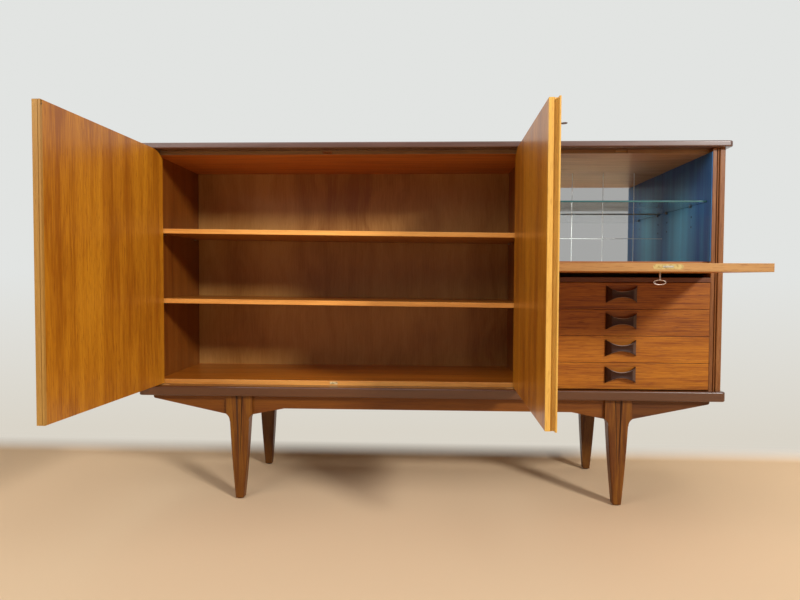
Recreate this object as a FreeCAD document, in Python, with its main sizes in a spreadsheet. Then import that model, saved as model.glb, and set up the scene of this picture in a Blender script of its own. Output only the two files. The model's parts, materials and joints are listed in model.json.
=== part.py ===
import FreeCAD, Part
import math
import os
import Sketcher

# Highboard with bar. Millimetres, +X to the right, +Y to the back, +Z up, floor at Z = 0.
# Every piece is drawn in the closed cabinet. The doors, the flap and the drawers then get
# their pose from their own Placement, with the doors and the flap standing open.

doc = FreeCAD.newDocument("Highboard")

# Driving dimensions: sheet alias, millimetres (angles in degrees, shares without unit), meaning.
SIZES = [
    ("half_width", 1002, "middle of the cabinet to the outer face of a side"),
    ("total_height", 1250, "floor to the top of the upper slab"),
    ("body_depth", 445, "front of the sides to the back of the cabinet"),
    ("slab_front", 20, "both slabs stand out this far in front of the sides"),
    ("top_side", 18, "upper slab stands out past each side"),
    ("bottom_side", 10, "lower slab stands out past each side"),
    ("top_thick", 21, "upper slab"),
    ("bottom_thick", 34, "lower slab"),
    ("leg_height", 370, "floor to the underside of the lower slab"),
    ("slab_corner", 14, "radius of the slabs' front corners seen from above"),
    ("slab_round", 5, "radius along the slabs' front and end edges"),
    ("side_thick", 40, "side panel"),
    ("side_nose", 30, "depth of the moulded solid edge on the side panel's front"),
    ("inner_front", 30, "front edge of the inner boards, behind the doors"),
    ("floor_thick", 16, "inner floor board"),
    ("ceiling_thick", 12, "inner ceiling board"),
    ("back_inset", 9, "front face of the back panel from the cabinet's back"),
    ("back_thick", 6, "back panel"),
    ("back_lap", 10, "back panel goes this far into a rebate of each side"),
    ("bar_width", 608, "bar, flap and drawers between the divider and the right side"),
    ("divider_thick", 19, "divider"),
    ("divider_front_wide", 28, "divider's thicker front edge, where the right door hangs"),
    ("edge_soft", 1.2, "small rounding on board edges"),
    ("strip_inner", 12, "inner flat strip of the moulded edge"),
    ("strip_back", 3, "inner strip and bead lie this far back"),
    ("strip_groove", 2.4, "groove beside the bead"),
    ("strip_deep", 7, "depth of both grooves from the front"),
    ("bead_wide", 5, "round bead of the moulded edge"),
    ("bead_radius", 2.6, "radius of the bead's face"),
    ("strip_round", 2.5, "rounding of the outer strip"),
    ("shelf_thick", 16.5, "wooden shelf"),
    ("upper_shelf_share", 0.6743, "share of the bay's height under the upper shelf's left end"),
    ("lower_shelf_share", 0.3626, "share of the bay's height under the lower shelf's left end"),
    ("upper_shelf_fall", 13.8, "upper shelf lies lower at its right end"),
    ("lower_shelf_fall", 10.1, "lower shelf lies lower at its right end"),
    ("shelf_gap", 1.5, "shelf end to the wall"),
    ("shelf_back_gap", 4, "shelf to the back panel"),
    ("pin_radius", 2.5, "shelf pin"),
    ("pin_in", 9, "shelf pin in the wall"),
    ("pin_out", 8, "shelf pin under the shelf"),
    ("pin_front", 90, "front row of shelf pins"),
    ("pin_rear_inset", 51, "rear row of shelf pins from the back panel"),
    ("bar_pin_front", 160, "front row of pins in the bar"),
    ("spare_hole_step", 36, "distance between the spare pin holes in the bar"),
    ("glass_thick", 6, "glass shelf"),
    ("glass_share", 0.5657, "share of the bar's height under the glass shelf's top"),
    ("glass_front", 32, "front edge of the glass shelf"),
    ("glass_back_gap", 26, "glass shelf to the mirror"),
    ("lining_front", 5, "front edge of that glass"),
    ("lining_thick", 3, "coloured glass on the bar's side walls"),
    ("mirror_thick", 4, "mirror of the bar"),
    ("mirror_line", 2, "width of an engraved line of the mirror"),
    ("mirror_cut", 0.6, "depth of an engraved line"),
    ("mirror_row_share", 0.3593, "share of the bar's height in a field of the mirror"),
    ("mirror_field_share", 0.2072, "share of the bar's width between two upright lines"),
    ("mirror_shift", 3, "the upright lines lie this far left of the middle"),
    ("bar_floor_thick", 16, "bar floor board"),
    ("bar_floor_front", 28, "front edge of the bar floor, over the open flap's rear edge"),
    ("bar_floor_gap", 0.3, "open flap to the bar floor that stops it"),
    ("rail_gap", 1.5, "uppermost drawer front to the rail above it"),
    ("rail_thick", 16.5, "rail above the drawers"),
    ("rail_front", 2, "front of that rail"),
    ("rail_depth", 42, "depth of that rail"),
    ("front_thick", 22, "doors"),
    ("front_gap", 2, "gap beside doors and drawer fronts"),
    ("door_gap", 3, "gap above and below a door"),
    ("meeting_gap", 7, "gap between the two doors' free edges, under the closing strip"),
    ("door_shift", 9, "the doors meet this far right of the middle of their opening"),
    ("pivot_inset", 12, "door pivot from the hinge edge"),
    ("hinge_round", 8, "rounding of a door's outer hinge edge"),
    ("relief_long", 66, "upper hinge corner cut away, along the door's top"),
    ("relief_high", 27, "the same, down the hinge edge"),
    ("relief_radius", 101, "curve of that corner"),
    ("left_open", 92.6, "left door's opening angle in the picture"),
    ("right_open", 89, "right door's opening angle in the picture"),
    ("lipping", 8, "solid strip on a free edge"),
    ("lip_outer", 14.5, "outer band of the left door's free edge"),
    ("lip_groove", 1.6, "line between the band and the inner lip"),
    ("lip_cut", 2, "depth of that line"),
    ("strip_band", 13, "inner band of the right door's free edge"),
    ("strip_cove", 4, "depth of the cove in the right door's free edge"),
    ("strip_lap", 12, "closing strip reaches past the right door's free edge"),
    ("strip_proud", 6, "closing strip stands out of the door's face"),
    ("strip_clear", 0.8, "closing strip to the left door's face"),
    ("strip_grip", 18, "closing strip lies on the right door's face"),
    ("strip_bead", 2.4, "rounding of the closing strip"),
    ("bush_radius", 6, "hinge bush"),
    ("bush_long", 14, "hinge bush"),
    ("bush_drop", 23, "upper hinge bush below the door's top"),
    ("pivot_radius", 3, "hinge pin"),
    ("pivot_clear", 0.08, "hinge pin to bush, radius"),
    ("pivot_end", 2, "hinge pin's end to the bottom of its hole"),
    ("plate_long", 46, "hinge plate"),
    ("plate_wide", 14, "hinge plate"),
    ("plate_thick", 3, "hinge plate"),
    ("flap_thick", 24, "flap"),
    ("flap_side_gap", 10, "gap beside the flap, at both ends"),
    ("flap_low_gap", 3, "closed flap's lower edge to the rail"),
    ("flap_inset", 24, "flap pivot from its lower edge"),
    ("flap_open", 90, "flap's opening angle in the picture"),
    ("forend_long", 83, "lock's edge plate"),
    ("forend_wide", 14, "lock's edge plate"),
    ("forend_thick", 2, "lock's edge plate"),
    ("forend_shift", 1.5, "flap lock's plate towards the inner face"),
    ("case_long", 40, "lock case"),
    ("case_wide", 12, "lock case"),
    ("case_deep", 57, "lock case"),
    ("case_wall", 1.2, "lock case"),
    ("bolt_long", 29, "lock bolt"),
    ("bolt_thick", 6, "lock bolt"),
    ("bolt_clear", 0.2, "lock bolt to its slot"),
    ("bolt_throw", 8, "lock bolt's travel"),
    ("bolt_low", 5.6, "bolt's lower end above the key"),
    ("backset", 45, "keyhole below the edge with the lock"),
    ("key_shift", 6, "keyhole beside the middle of the lock"),
    ("keyhole_radius", 2.8, "keyhole"),
    ("stem_radius", 2.4, "key stem"),
    ("stem_in", 4, "key stem past the middle of the case"),
    ("stem_out", 23.6, "key stem in front of the face"),
    ("bit_long", 10.6, "key bit from the stem's middle"),
    ("bit_wide", 6, "key bit along the stem"),
    ("bit_thick", 2.4, "key bit"),
    ("bow_long", 36, "key's oval ring"),
    ("bow_wide", 15.4, "key's oval ring"),
    ("bow_wire", 2.4, "key's oval ring"),
    ("bow_tip", 4.6, "radius at the ends of that oval"),
    ("collar_radius", 4, "collar between stem and ring"),
    ("collar_long", 3, "collar between stem and ring"),
    ("plate_ring", 9, "keyhole plate's radius"),
    ("plate_ring_thick", 1, "keyhole plate"),
    ("screw_head", 3.6, "lock screw's head radius"),
    ("screw_core", 1.8, "lock screw's shaft radius"),
    ("screw_place", 34, "lock screw from the lock's middle"),
    ("screw_long", 14, "lock screw"),
    ("screw_slot", 0.8, "slot in the screw's head"),
    ("door_lock_place", 82, "door lock's middle from the free edge"),
    ("flap_lock_shift", 7, "flap lock's middle right of the bar's middle"),
    ("strike_long", 45, "strike plate"),
    ("strike_wide", 16, "strike plate"),
    ("strike_thick", 1.5, "strike plate"),
    ("strike_slot_long", 31, "slot for the bolt"),
    ("strike_slot_wide", 8, "slot for the bolt"),
    ("strike_clear", 1, "thrown bolt's end to the bottom of its slot"),
    ("catch_long", 27, "catch plate in the floor board's front edge"),
    ("catch_high", 10, "catch plate"),
    ("catch_place", 17, "catch plate's middle from the left door's free edge"),
    ("catch_slot_long", 33, "dark slot in the ceiling board's front edge"),
    ("catch_slot_high", 7, "that slot"),
    ("catch_slot_place", 40, "that slot's middle from the left door's free edge"),
    ("bar_slot_long", 41, "slot in the bar's ceiling edge"),
    ("slot_deep", 10, "slots in the ceiling boards"),
    ("slide_radius", 2.4, "left door's sliding bolt"),
    ("slide_hole", 2.6, "its hole"),
    ("slide_long", 34, "its length"),
    ("slide_place", 4.6, "its middle from the free edge"),
    ("slide_knob", 2, "its knob's radius"),
    ("slide_knob_drop", 11, "its knob below the door's top"),
    ("slide_knob_out", 1.5, "its knob out of the inner face"),
    ("slide_travel", 7, "its travel"),
    ("slide_rest", 1, "its upper end below the door's top at rest"),
    ("stack_gap", 3, "lowest drawer front to the lower slab"),
    ("stack_tall", 366, "the four drawer fronts with the gaps between them"),
    ("drawer_gap", 1.2, "gap between drawer fronts"),
    ("drawer_front_thick", 20, "drawer front"),
    ("drawer_round", 0.8, "rounding of a drawer front"),
    ("drawer_side", 12, "drawer box walls"),
    ("drawer_bottom", 6, "drawer box bottom"),
    ("drawer_box_gap", 2.5, "drawer box to the cabinet wall"),
    ("drawer_lift", 9, "box underside above the front's lower edge"),
    ("drawer_high", 70, "drawer box height"),
    ("drawer_back_gap", 31, "drawer box to the back panel"),
    ("runner_out", 7.6, "runner stands out of the wall"),
    ("runner_high", 14, "runner"),
    ("runner_clear", 0.4, "runner to its groove"),
    ("runner_front", 46, "front end of the runners"),
    ("runner_back_gap", 11, "runner to the back panel"),
    ("pull_long", 103, "bow-tie pull"),
    ("pull_high", 62, "its ends on the front face"),
    ("pull_waist", 22, "its waist on the front face"),
    ("pull_root_high", 56, "its ends at the drawer front"),
    ("pull_root_waist", 15, "its waist at the drawer front"),
    ("pull_out", 20, "it stands out of the drawer front"),
    ("pull_raise", 5.5, "its middle above the drawer front's middle"),
    ("pull_shift", 4, "its middle right of the drawer front's middle"),
    ("pull_bevel", 16, "carved slope at each end"),
    ("pull_edge", 6, "what the slope leaves of the end's thickness"),
    ("pull_hollow", 60, "radius of the carved slope"),
    ("pull_soft", 1, "rounding along the pull's hollow sides"),
    ("leg_inset", 341, "middle of a leg from the side's outer face"),
    ("leg_block", 46.5, "half the width of a leg's upper block"),
    ("leg_shoulder", 34.5, "half the width below the shoulder"),
    ("leg_foot", 14.5, "half the width at the foot"),
    ("leg_block_high", 68, "height of the block"),
    ("leg_shoulder_high", 24, "height of the shoulder's curve"),
    ("leg_shoulder_curve", 26, "radius of the shoulder"),
    ("leg_belly", 5600, "radius of the leg's slightly rounded sides"),
    ("leg_front", 3, "front of the front legs"),
    ("leg_deep", 44, "depth of a leg's block"),
    ("leg_foot_deep", 31, "depth of a leg at the foot"),
    ("leg_round", 5, "rounding of the legs' long edges"),
    ("leg_back_share", 0.9, "width of the back legs beside the front legs"),
    ("flute_wide", 24, "flute in a front leg, at the top"),
    ("flute_floor", 15, "flat floor of the flute, at the top"),
    ("flute_deep", 4.5, "the flute's depth at the top"),
    ("flute_long", 265, "flute, from the leg's top to where it runs out"),
    ("flute_tip", 2, "its width there"),
    ("flute_tip_floor", 1, "its floor there"),
    ("flute_tip_deep", 0.2, "its depth there"),
    ("glide_high", 4, "glide under a foot"),
    ("glide_radius", 11, "glide under a foot"),
    ("apron_front", 14, "front of the front apron"),
    ("apron_thick", 22, "aprons and base rails"),
    ("apron_high", 48, "apron where its lower edge is straight"),
    ("apron_leg_high", 70, "apron beside a leg"),
    ("apron_ramp", 158, "where the straight lower edge ends, from the leg's middle"),
    ("apron_end_inset", 30, "outer end of the apron from the side's outer face"),
    ("apron_end_high", 16, "apron at that end"),
    ("apron_end_round", 8, "rounding at that end"),
    ("base_rail_high", 58, "the base's side and back rails"),
    ("block_leg", 45, "corner block of the base"),
    ("block_high", 28, "corner block of the base"),
]


# The mirror's four upright lines, in fields from the middle.
MIRROR_LINE_SHARES = (-1.5, -0.5, 0.5, 1.5)


class Size:
    """A length that knows its number and the sheet formula that gives it."""

    def __init__(self, value, text):
        self.value = float(value)
        self.text = text

    def __add__(self, other):
        return Size(self.value + number(other), "(%s + %s)" % (self.text, formula(other)))

    def __sub__(self, other):
        return Size(self.value - number(other), "(%s - %s)" % (self.text, formula(other)))

    def __mul__(self, other):
        return Size(self.value * number(other), "(%s * %s)" % (self.text, formula(other)))

    def __truediv__(self, other):
        return Size(self.value / number(other), "(%s / %s)" % (self.text, formula(other)))

    def __neg__(self):
        return Size(-self.value, "(0 - %s)" % self.text)

    def __rmul__(self, other):
        return self * other


def number(thing):
    return thing.value if isinstance(thing, Size) else float(thing)


def formula(thing):
    return thing.text if isinstance(thing, Size) else repr(float(thing))


def as_size(thing):
    return thing if isinstance(thing, Size) else Size(thing, repr(float(thing)))


class Names:
    """Holds each size of the sheet under its alias."""


sheet = doc.addObject("Spreadsheet::Sheet", "Sizes")
s = Names()
for row, (alias, value, meaning) in enumerate(SIZES, start=1):
    sheet.set("A%d" % row, meaning)
    sheet.set("B%d" % row, repr(float(value)))
    sheet.setAlias("B%d" % row, alias)
    setattr(s, alias, Size(value, "Sizes.%s" % alias))
doc.recompute()

ZERO = Size(0, "0")
SMALL = 1e-6
nodes = []


def bind(thing, path, size):
    thing.setExpression(path, as_size(size).text)


# Derived positions, each from the sizes above.
inner_x = s.half_width - s.side_thick
slab_top = s.total_height - s.top_thick
floor_low = s.leg_height + s.bottom_thick
floor_top = floor_low + s.floor_thick
ceiling_low = slab_top - s.ceiling_thick
back_front = s.body_depth - s.back_inset
divider_right = inner_x - s.bar_width
divider_left = divider_right - s.divider_thick
divider_front_left = divider_right - s.divider_front_wide
door_low = floor_low + s.door_gap
door_top = slab_top - s.door_gap
door_half = s.front_thick / 2
left_pivot_x = -inner_x + s.front_gap + s.pivot_inset
right_pivot_x = divider_front_left - s.front_gap - s.pivot_inset
door_wide = (divider_front_left + inner_x - s.front_gap * 2 - s.meeting_gap) / 2
left_reach = door_wide + s.door_shift - s.pivot_inset
right_reach = door_wide - s.door_shift - s.pivot_inset
stack_low = floor_low + s.stack_gap
stack_high = stack_low + s.stack_tall
rail_low = stack_high + s.rail_gap
rail_high = rail_low + s.rail_thick
flap_half = s.flap_thick / 2
flap_pivot_z = rail_high + s.flap_low_gap + s.flap_inset
half_flap = s.bar_width / 2 - s.flap_side_gap
half_drawer = s.bar_width / 2 - s.front_gap
flap_top = door_top - flap_pivot_z
bar_middle = (divider_right + inner_x) / 2
bar_floor_low = flap_pivot_z + flap_half + s.bar_floor_gap
bar_floor_top = bar_floor_low + s.bar_floor_thick
lining_low_x = divider_right + s.lining_thick
lining_high_x = inner_x - s.lining_thick
mirror_front = back_front - s.mirror_thick
bay_high = ceiling_low - floor_top
bar_high = ceiling_low - bar_floor_top
glass_top = bar_floor_top + bar_high * s.glass_share
pin_rear = back_front - s.pin_rear_inset
leg_middle = s.half_width - s.leg_inset
leg_block_low = s.leg_height - s.leg_block_high
leg_shoulder_low = leg_block_low - s.leg_shoulder_high
drawer_step = (stack_high - stack_low + s.drawer_gap) / 4
drawer_front_high = drawer_step - s.drawer_gap

# The origin is under the middle of the box around the posed model. Its front is the closing
# strip's tip at the right door's free end.
turn = math.radians(s.right_open.value)
tip_along = (right_reach + s.strip_lap - s.strip_bead) * math.sin(turn)
tip_aside = (door_half + s.strip_proud - s.strip_bead) * math.cos(turn)
front_reach = tip_along + tip_aside + s.strip_bead - door_half
origin_y = (front_reach - s.body_depth) / 2


# Helpers that draw, pad, cut and place.

def vector(x, y, z):
    return FreeCAD.Vector(number(x), number(y), number(z))


def place(thing, x, y, z, axis=None, angle=0):
    thing.Placement = FreeCAD.Placement(
        vector(x, as_size(y) + origin_y, z),
        FreeCAD.Rotation(axis or FreeCAD.Vector(0, 0, 1), number(angle)))
    bind(thing, "Placement.Base.x", x)
    bind(thing, "Placement.Base.y", as_size(y) + origin_y)
    bind(thing, "Placement.Base.z", z)
    if axis is not None:
        bind(thing, "Placement.Rotation.Angle", angle)


def origin_plane(body, name):
    for feature in body.Origin.OriginFeatures:
        if feature.Role == name + "_Plane":
            return feature
    raise RuntimeError("no plane " + name)


def new_sketch(body, name, plane, level):
    sketch = body.newObject("Sketcher::SketchObject", name)
    sketch.AttachmentSupport = [(origin_plane(body, plane), "")]
    sketch.MapMode = "FlatFace"
    # The XZ plane's normal points to the front, so its level counts backwards.
    bind(sketch, "AttachmentOffset.Base.z", -level if plane == "XZ" else level)
    return sketch


def hold_along(sketch, geometry, end, kind, size):
    """Fix one coordinate of a sketch point at a sheet size; zero puts it on the axis."""
    size = as_size(size)
    if abs(size.value) < SMALL:
        axis = -2 if kind == "DistanceX" else -1
        sketch.addConstraint(Sketcher.Constraint("PointOnObject", geometry, end, axis))
        return
    index = sketch.addConstraint(Sketcher.Constraint(kind, -1, 1, geometry, end, size.value))
    bind(sketch, "Constraints[%d]" % index, size)


def hold(sketch, geometry, end, x, y):
    hold_along(sketch, geometry, end, "DistanceX", x)
    hold_along(sketch, geometry, end, "DistanceY", y)


def arc_between(start, finish, radius, side):
    """The short arc; side 1 has its centre on the left of the way from start to finish."""
    chord = finish - start
    half = chord.Length / 2
    rise = math.sqrt(max(radius * radius - half * half, 0))
    left = FreeCAD.Vector(-chord.y, chord.x, 0).normalize()
    middle = (start + finish) * 0.5
    centre = middle + left * (rise * side)
    top = centre + (middle - centre).normalize() * radius if rise > SMALL else middle - left * (
        radius * side)
    return Part.Arc(start, top, finish)


def draw(sketch, outlines):
    """Outlines are circles (x, y, radius) or loops of corners (x, y[, radius, side]).

    A corner with a radius is reached from the corner before it by an arc.
    """
    for outline in outlines:
        if isinstance(outline, tuple):
            x, y, radius = [as_size(part) for part in outline]
            ring = sketch.addGeometry(
                Part.Circle(vector(x, y, 0), FreeCAD.Vector(0, 0, 1), radius.value))
            index = sketch.addConstraint(Sketcher.Constraint("Radius", ring, radius.value))
            bind(sketch, "Constraints[%d]" % index, radius)
            hold(sketch, ring, 3, x, y)
            continue
        corners = [(as_size(c[0]), as_size(c[1])) + tuple(c[2:]) for c in outline]
        count = len(corners)
        pieces = []
        for here in range(count):
            there = (here + 1) % count
            start = vector(corners[here][0], corners[here][1], 0)
            finish = vector(corners[there][0], corners[there][1], 0)
            if len(corners[there]) > 2:
                radius, side = corners[there][2], corners[there][3]
                curve = arc_between(start, finish, number(radius), side)
                piece = sketch.addGeometry(curve)
                # An arc is stored anticlockwise, so its first point can be either end.
                first = 1 if side > 0 else 2
                if (finish - start).Length > 2 * number(radius) - SMALL:
                    # A half circle: its centre lies between its ends.
                    upright = abs(finish.x - start.x) < SMALL
                    hold_along(sketch, piece, 3, "DistanceX" if upright else "DistanceY",
                               corners[there][0 if upright else 1])
                else:
                    index = sketch.addConstraint(
                        Sketcher.Constraint("Radius", piece, number(radius)))
                    bind(sketch, "Constraints[%d]" % index, radius)
            else:
                piece = sketch.addGeometry(Part.LineSegment(start, finish))
                first = 1
            pieces.append((piece, first, 3 - first))
        for here in range(count):
            before = pieces[here - 1]
            after = pieces[here]
            sketch.addConstraint(
                Sketcher.Constraint("Coincident", before[0], before[2], after[0], after[1]))
            hold(sketch, after[0], after[1], corners[here][0], corners[here][1])


def rectangle(x_low, x_high, y_low, y_high):
    return [(x_low, y_low), (x_high, y_low), (x_high, y_high), (x_low, y_high)]


def new_body(label):
    body = doc.addObject("PartDesign::Body", label)
    body.Label = label
    return body


def pad(body, name, plane, level, length, outlines):
    sketch = new_sketch(body, body.Name + "_" + name + "_sketch", plane, level)
    draw(sketch, outlines)
    feature = body.newObject("PartDesign::Pad", body.Name + "_" + name)
    feature.Profile = sketch
    bind(feature, "Length", length)
    feature.Reversed = plane == "XZ"
    sketch.Visibility = False
    doc.recompute()
    return feature


def cut(body, name, plane, level, length, outlines):
    before = body.Tip.Shape.Volume
    sketch = new_sketch(body, body.Name + "_" + name + "_sketch", plane, level)
    draw(sketch, outlines)
    feature = body.newObject("PartDesign::Pocket", body.Name + "_" + name)
    feature.Profile = sketch
    bind(feature, "Length", length)
    feature.Reversed = plane != "XZ"
    sketch.Visibility = False
    doc.recompute()
    if feature.Shape.Volume > before - SMALL:
        raise RuntimeError("pocket removes nothing: " + feature.Name)
    return feature


def soften(body, name, radius, wanted, kind="Fillet"):
    """Round, or with Chamfer bevel, the edges of the body for which wanted(box, edge) is true."""
    base = body.Tip
    names = ["Edge%d" % (i + 1) for i, edge in enumerate(base.Shape.Edges)
             if wanted(edge.BoundBox, edge)]
    if not names:
        raise RuntimeError("no edge to round: " + body.Name + " " + name)
    feature = body.newObject("PartDesign::" + kind, body.Name + "_" + name)
    feature.Base = (base, names)
    bind(feature, "Radius" if kind == "Fillet" else "Size", radius)
    doc.recompute()
    return feature


def at(value, size):
    return abs(value - number(size)) < 1e-3


def finish(thing, label=None):
    if label:
        thing.Label = label
    nodes.append(thing)
    return thing


def panel(label, x_low, x_high, y_low, y_high, z_low, z_high):
    """A board as a padded rectangle, lying where it does in the cabinet."""
    body = new_body(label)
    pad(body, "board", "XY", z_low, z_high - z_low, [rectangle(x_low, x_high, y_low, y_high)])
    return body


def box(name, x_low, x_high, y_low, y_high, z_low, z_high):
    thing = doc.addObject("Part::Box", name)
    bind(thing, "Length", as_size(x_high) - x_low)
    bind(thing, "Width", as_size(y_high) - y_low)
    bind(thing, "Height", as_size(z_high) - z_low)
    bind(thing, "Placement.Base.x", x_low)
    bind(thing, "Placement.Base.y", y_low)
    bind(thing, "Placement.Base.z", z_low)
    return thing


def rod(name, radius, length, x, y, z, towards="z"):
    thing = doc.addObject("Part::Cylinder", name)
    turns = {"z": (FreeCAD.Vector(0, 0, 1), 0), "x": (FreeCAD.Vector(0, 1, 0), 90),
             "-x": (FreeCAD.Vector(0, 1, 0), -90), "-y": (FreeCAD.Vector(1, 0, 0), 90),
             "y": (FreeCAD.Vector(1, 0, 0), -90)}
    axis, angle = turns[towards]
    thing.Placement = FreeCAD.Placement(vector(x, y, z), FreeCAD.Rotation(axis, angle))
    bind(thing, "Radius", radius)
    bind(thing, "Height", length)
    bind(thing, "Placement.Base.x", x)
    bind(thing, "Placement.Base.y", y)
    bind(thing, "Placement.Base.z", z)
    return thing


def minus(name, base, *tools):
    doc.recompute()
    for index, tool in enumerate(tools):
        before = base.Shape.Volume
        result = doc.addObject("Part::Cut", "%s_%d" % (name, index))
        result.Base = base
        result.Tool = tool
        doc.recompute()
        if result.Shape.Volume > before - SMALL:
            raise RuntimeError("cut removes nothing: " + result.Name)
        base = result
    return base


def plus(name, *things):
    result = doc.addObject("Part::MultiFuse", name)
    result.Shapes = list(things)
    doc.recompute()
    return result


def group(label, things):
    """Like pieces that share one file stay separate solids in one compound."""
    result = doc.addObject("Part::Compound", label)
    result.Links = list(things)
    doc.recompute()
    return result


# Slabs.

def slab(label, x_out, z_low, thick):
    body = new_body(label)
    back = s.body_depth
    front = -s.slab_front
    corner = s.slab_corner
    pad(body, "board", "XY", z_low, thick, [[
        (-x_out, back), (-x_out, front + corner),
        (-x_out + corner, front, corner, 1), (x_out - corner, front),
        (x_out, front + corner, corner, 1), (x_out, back)]])
    low, high = z_low.value, z_low.value + thick.value
    soften(body, "edge", s.slab_round, lambda b, e: (
        (at(b.ZMin, low) and at(b.ZMax, low)) or (at(b.ZMin, high) and at(b.ZMax, high)))
        and not (at(b.YMin, s.body_depth) and at(b.YMax, s.body_depth)))
    return body


door_lock_x = right_pivot_x - right_reach + s.door_lock_place
flap_lock_x = bar_middle + s.flap_lock_shift
left_free_x = left_pivot_x + left_reach
slide_x = left_free_x - s.slide_place

top_slab = slab("top_slab", s.half_width + s.top_side, slab_top, s.top_thick)
plate_half = s.plate_wide / 2
cut(top_slab, "hinge_recess", "XY", slab_top, s.plate_thick, [
    rectangle(left_pivot_x - s.pivot_inset, left_pivot_x - s.pivot_inset + s.plate_long,
              door_half - plate_half, door_half + plate_half),
    rectangle(right_pivot_x + s.pivot_inset - s.plate_long, right_pivot_x + s.pivot_inset,
              door_half - plate_half, door_half + plate_half)])
strike_half = s.strike_long / 2
strike_side = s.strike_wide / 2
slot_half = s.strike_slot_long / 2
slot_side = s.strike_slot_wide / 2
strike_deep = s.bolt_throw + s.strike_clear
strikes = [(door_lock_x, door_half), (flap_lock_x, flap_half + s.forend_shift)]
cut(top_slab, "strike_recess", "XY", slab_top, s.strike_thick, [
    rectangle(x - strike_half, x + strike_half, y - strike_side, y + strike_side)
    for x, y in strikes])
cut(top_slab, "bolt_mortise", "XY", slab_top + s.strike_thick, strike_deep, [
    rectangle(x - slot_half, x + slot_half, y - slot_side, y + slot_side)
    for x, y in strikes])
cut(top_slab, "slide_hole", "XY", slab_top, strike_deep, [
    (slide_x, door_half, s.slide_hole + s.bolt_clear)])
place(top_slab, 0, 0, 0)
finish(top_slab)

bottom_slab = slab("bottom_slab", s.half_width + s.bottom_side, s.leg_height, s.bottom_thick)
cut(bottom_slab, "hinge_recess", "XY", floor_low - s.plate_thick, s.plate_thick, [
    rectangle(left_pivot_x - s.pivot_inset, left_pivot_x - s.pivot_inset + s.plate_long,
              door_half - plate_half, door_half + plate_half),
    rectangle(right_pivot_x + s.pivot_inset - s.plate_long, right_pivot_x + s.pivot_inset,
              door_half - plate_half, door_half + plate_half)])
place(bottom_slab, 0, 0, 0)
finish(bottom_slab)

# Sides with their moulded front edges. sign is -1 on the left and 1 on the right.

end_plate_outline = rectangle(
    flap_half - plate_half, flap_half + plate_half, flap_pivot_z - s.pivot_inset,
    flap_pivot_z - s.pivot_inset + s.plate_long)


def side_panel(label, sign):
    body = new_body(label)
    low, high = (inner_x, s.half_width)
    pad(body, "board", "XY", floor_low, slab_top - floor_low, [
        rectangle(low * sign, high * sign, s.side_nose, s.body_depth)])
    cut(body, "back_rebate", "XY", floor_low, slab_top - floor_low, [
        rectangle(low * sign, (low + s.back_lap) * sign, back_front, s.body_depth)])
    soften(body, "rear_edge", s.edge_soft, lambda b, e: (
        at(abs(b.XMin), s.half_width) and at(abs(b.XMax), s.half_width)
        and at(b.YMin, s.body_depth) and at(b.YMax, s.body_depth)))
    return body


def pin_holes(body, name, wall, outward, rows):
    """Blind holes for shelf pins in a wall; outward is the way out of the hole along X."""
    start = wall - s.pin_in if outward > 0 else wall
    return cut(body, name, "YZ", start, s.pin_in, [(y, z, s.pin_radius) for y, z in rows])


# Both wooden shelves lie a little lower at the right end, with their pins.
shelf_long = divider_left + inner_x - s.shelf_gap * 2
shelves = (("shelf_upper", floor_top + bay_high * s.upper_shelf_share, s.upper_shelf_fall),
           ("shelf_lower", floor_top + bay_high * s.lower_shelf_share, s.lower_shelf_fall))
left_rows = []
right_rows = []
for label, top, fall in shelves:
    pin_z = top - s.shelf_thick - s.pin_radius
    for y in (s.pin_front, pin_rear):
        left_rows.append((y, pin_z - fall * s.pin_out / shelf_long))
        right_rows.append((y, pin_z - fall))
glass_pin_z = glass_top - s.glass_thick - s.pin_radius
bar_rows = [(y, glass_pin_z) for y in (s.bar_pin_front, pin_rear)]
spare_rows = [(y, glass_pin_z - s.spare_hole_step * k)
              for y in (s.bar_pin_front, pin_rear) for k in (1, 2)]

side_left = side_panel("side_left", -1)
pin_holes(side_left, "pin_holes", -inner_x, 1, left_rows)
place(side_left, 0, 0, 0)
finish(side_left)
side_right = side_panel("side_right", 1)
cut(side_right, "pin_holes", "YZ", inner_x, s.pin_in, [
    (y, z, s.pin_radius) for y, z in bar_rows + spare_rows])
place(side_right, 0, 0, 0)
finish(side_right)


def side_edge(label, sign):
    """Solid moulding: flat strip, round bead and outer strip with rounded corners."""
    body = new_body(label)
    a = inner_x
    b = a + s.strip_inner
    c = b + s.strip_groove
    d = c + s.bead_wide
    e = d + s.strip_groove
    f = s.half_width
    r = s.strip_round
    side = -1 if sign > 0 else 1
    corners = [(a, s.side_nose), (a, s.strip_back), (b, s.strip_back), (b, s.strip_deep),
               (c, s.strip_deep), (c, s.strip_back), (d, s.strip_back, s.bead_radius, -side),
               (d, s.strip_deep), (e, s.strip_deep), (e, r), (e + r, ZERO, r, -side),
               (f - r, ZERO), (f, r, r, -side), (f, s.side_nose)]
    corners = [(corner[0] * sign,) + corner[1:] for corner in corners]
    pad(body, "moulding", "XY", floor_low, slab_top - floor_low, [corners])
    return body


side_edge_left = side_edge("side_edge_left", -1)
place(side_edge_left, 0, 0, 0)
finish(side_edge_left)
side_edge_right = side_edge("side_edge_right", 1)
cut(side_edge_right, "hinge_recess", "YZ", inner_x, s.plate_thick, [end_plate_outline])
place(side_edge_right, 0, 0, 0)
finish(side_edge_right)

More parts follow.
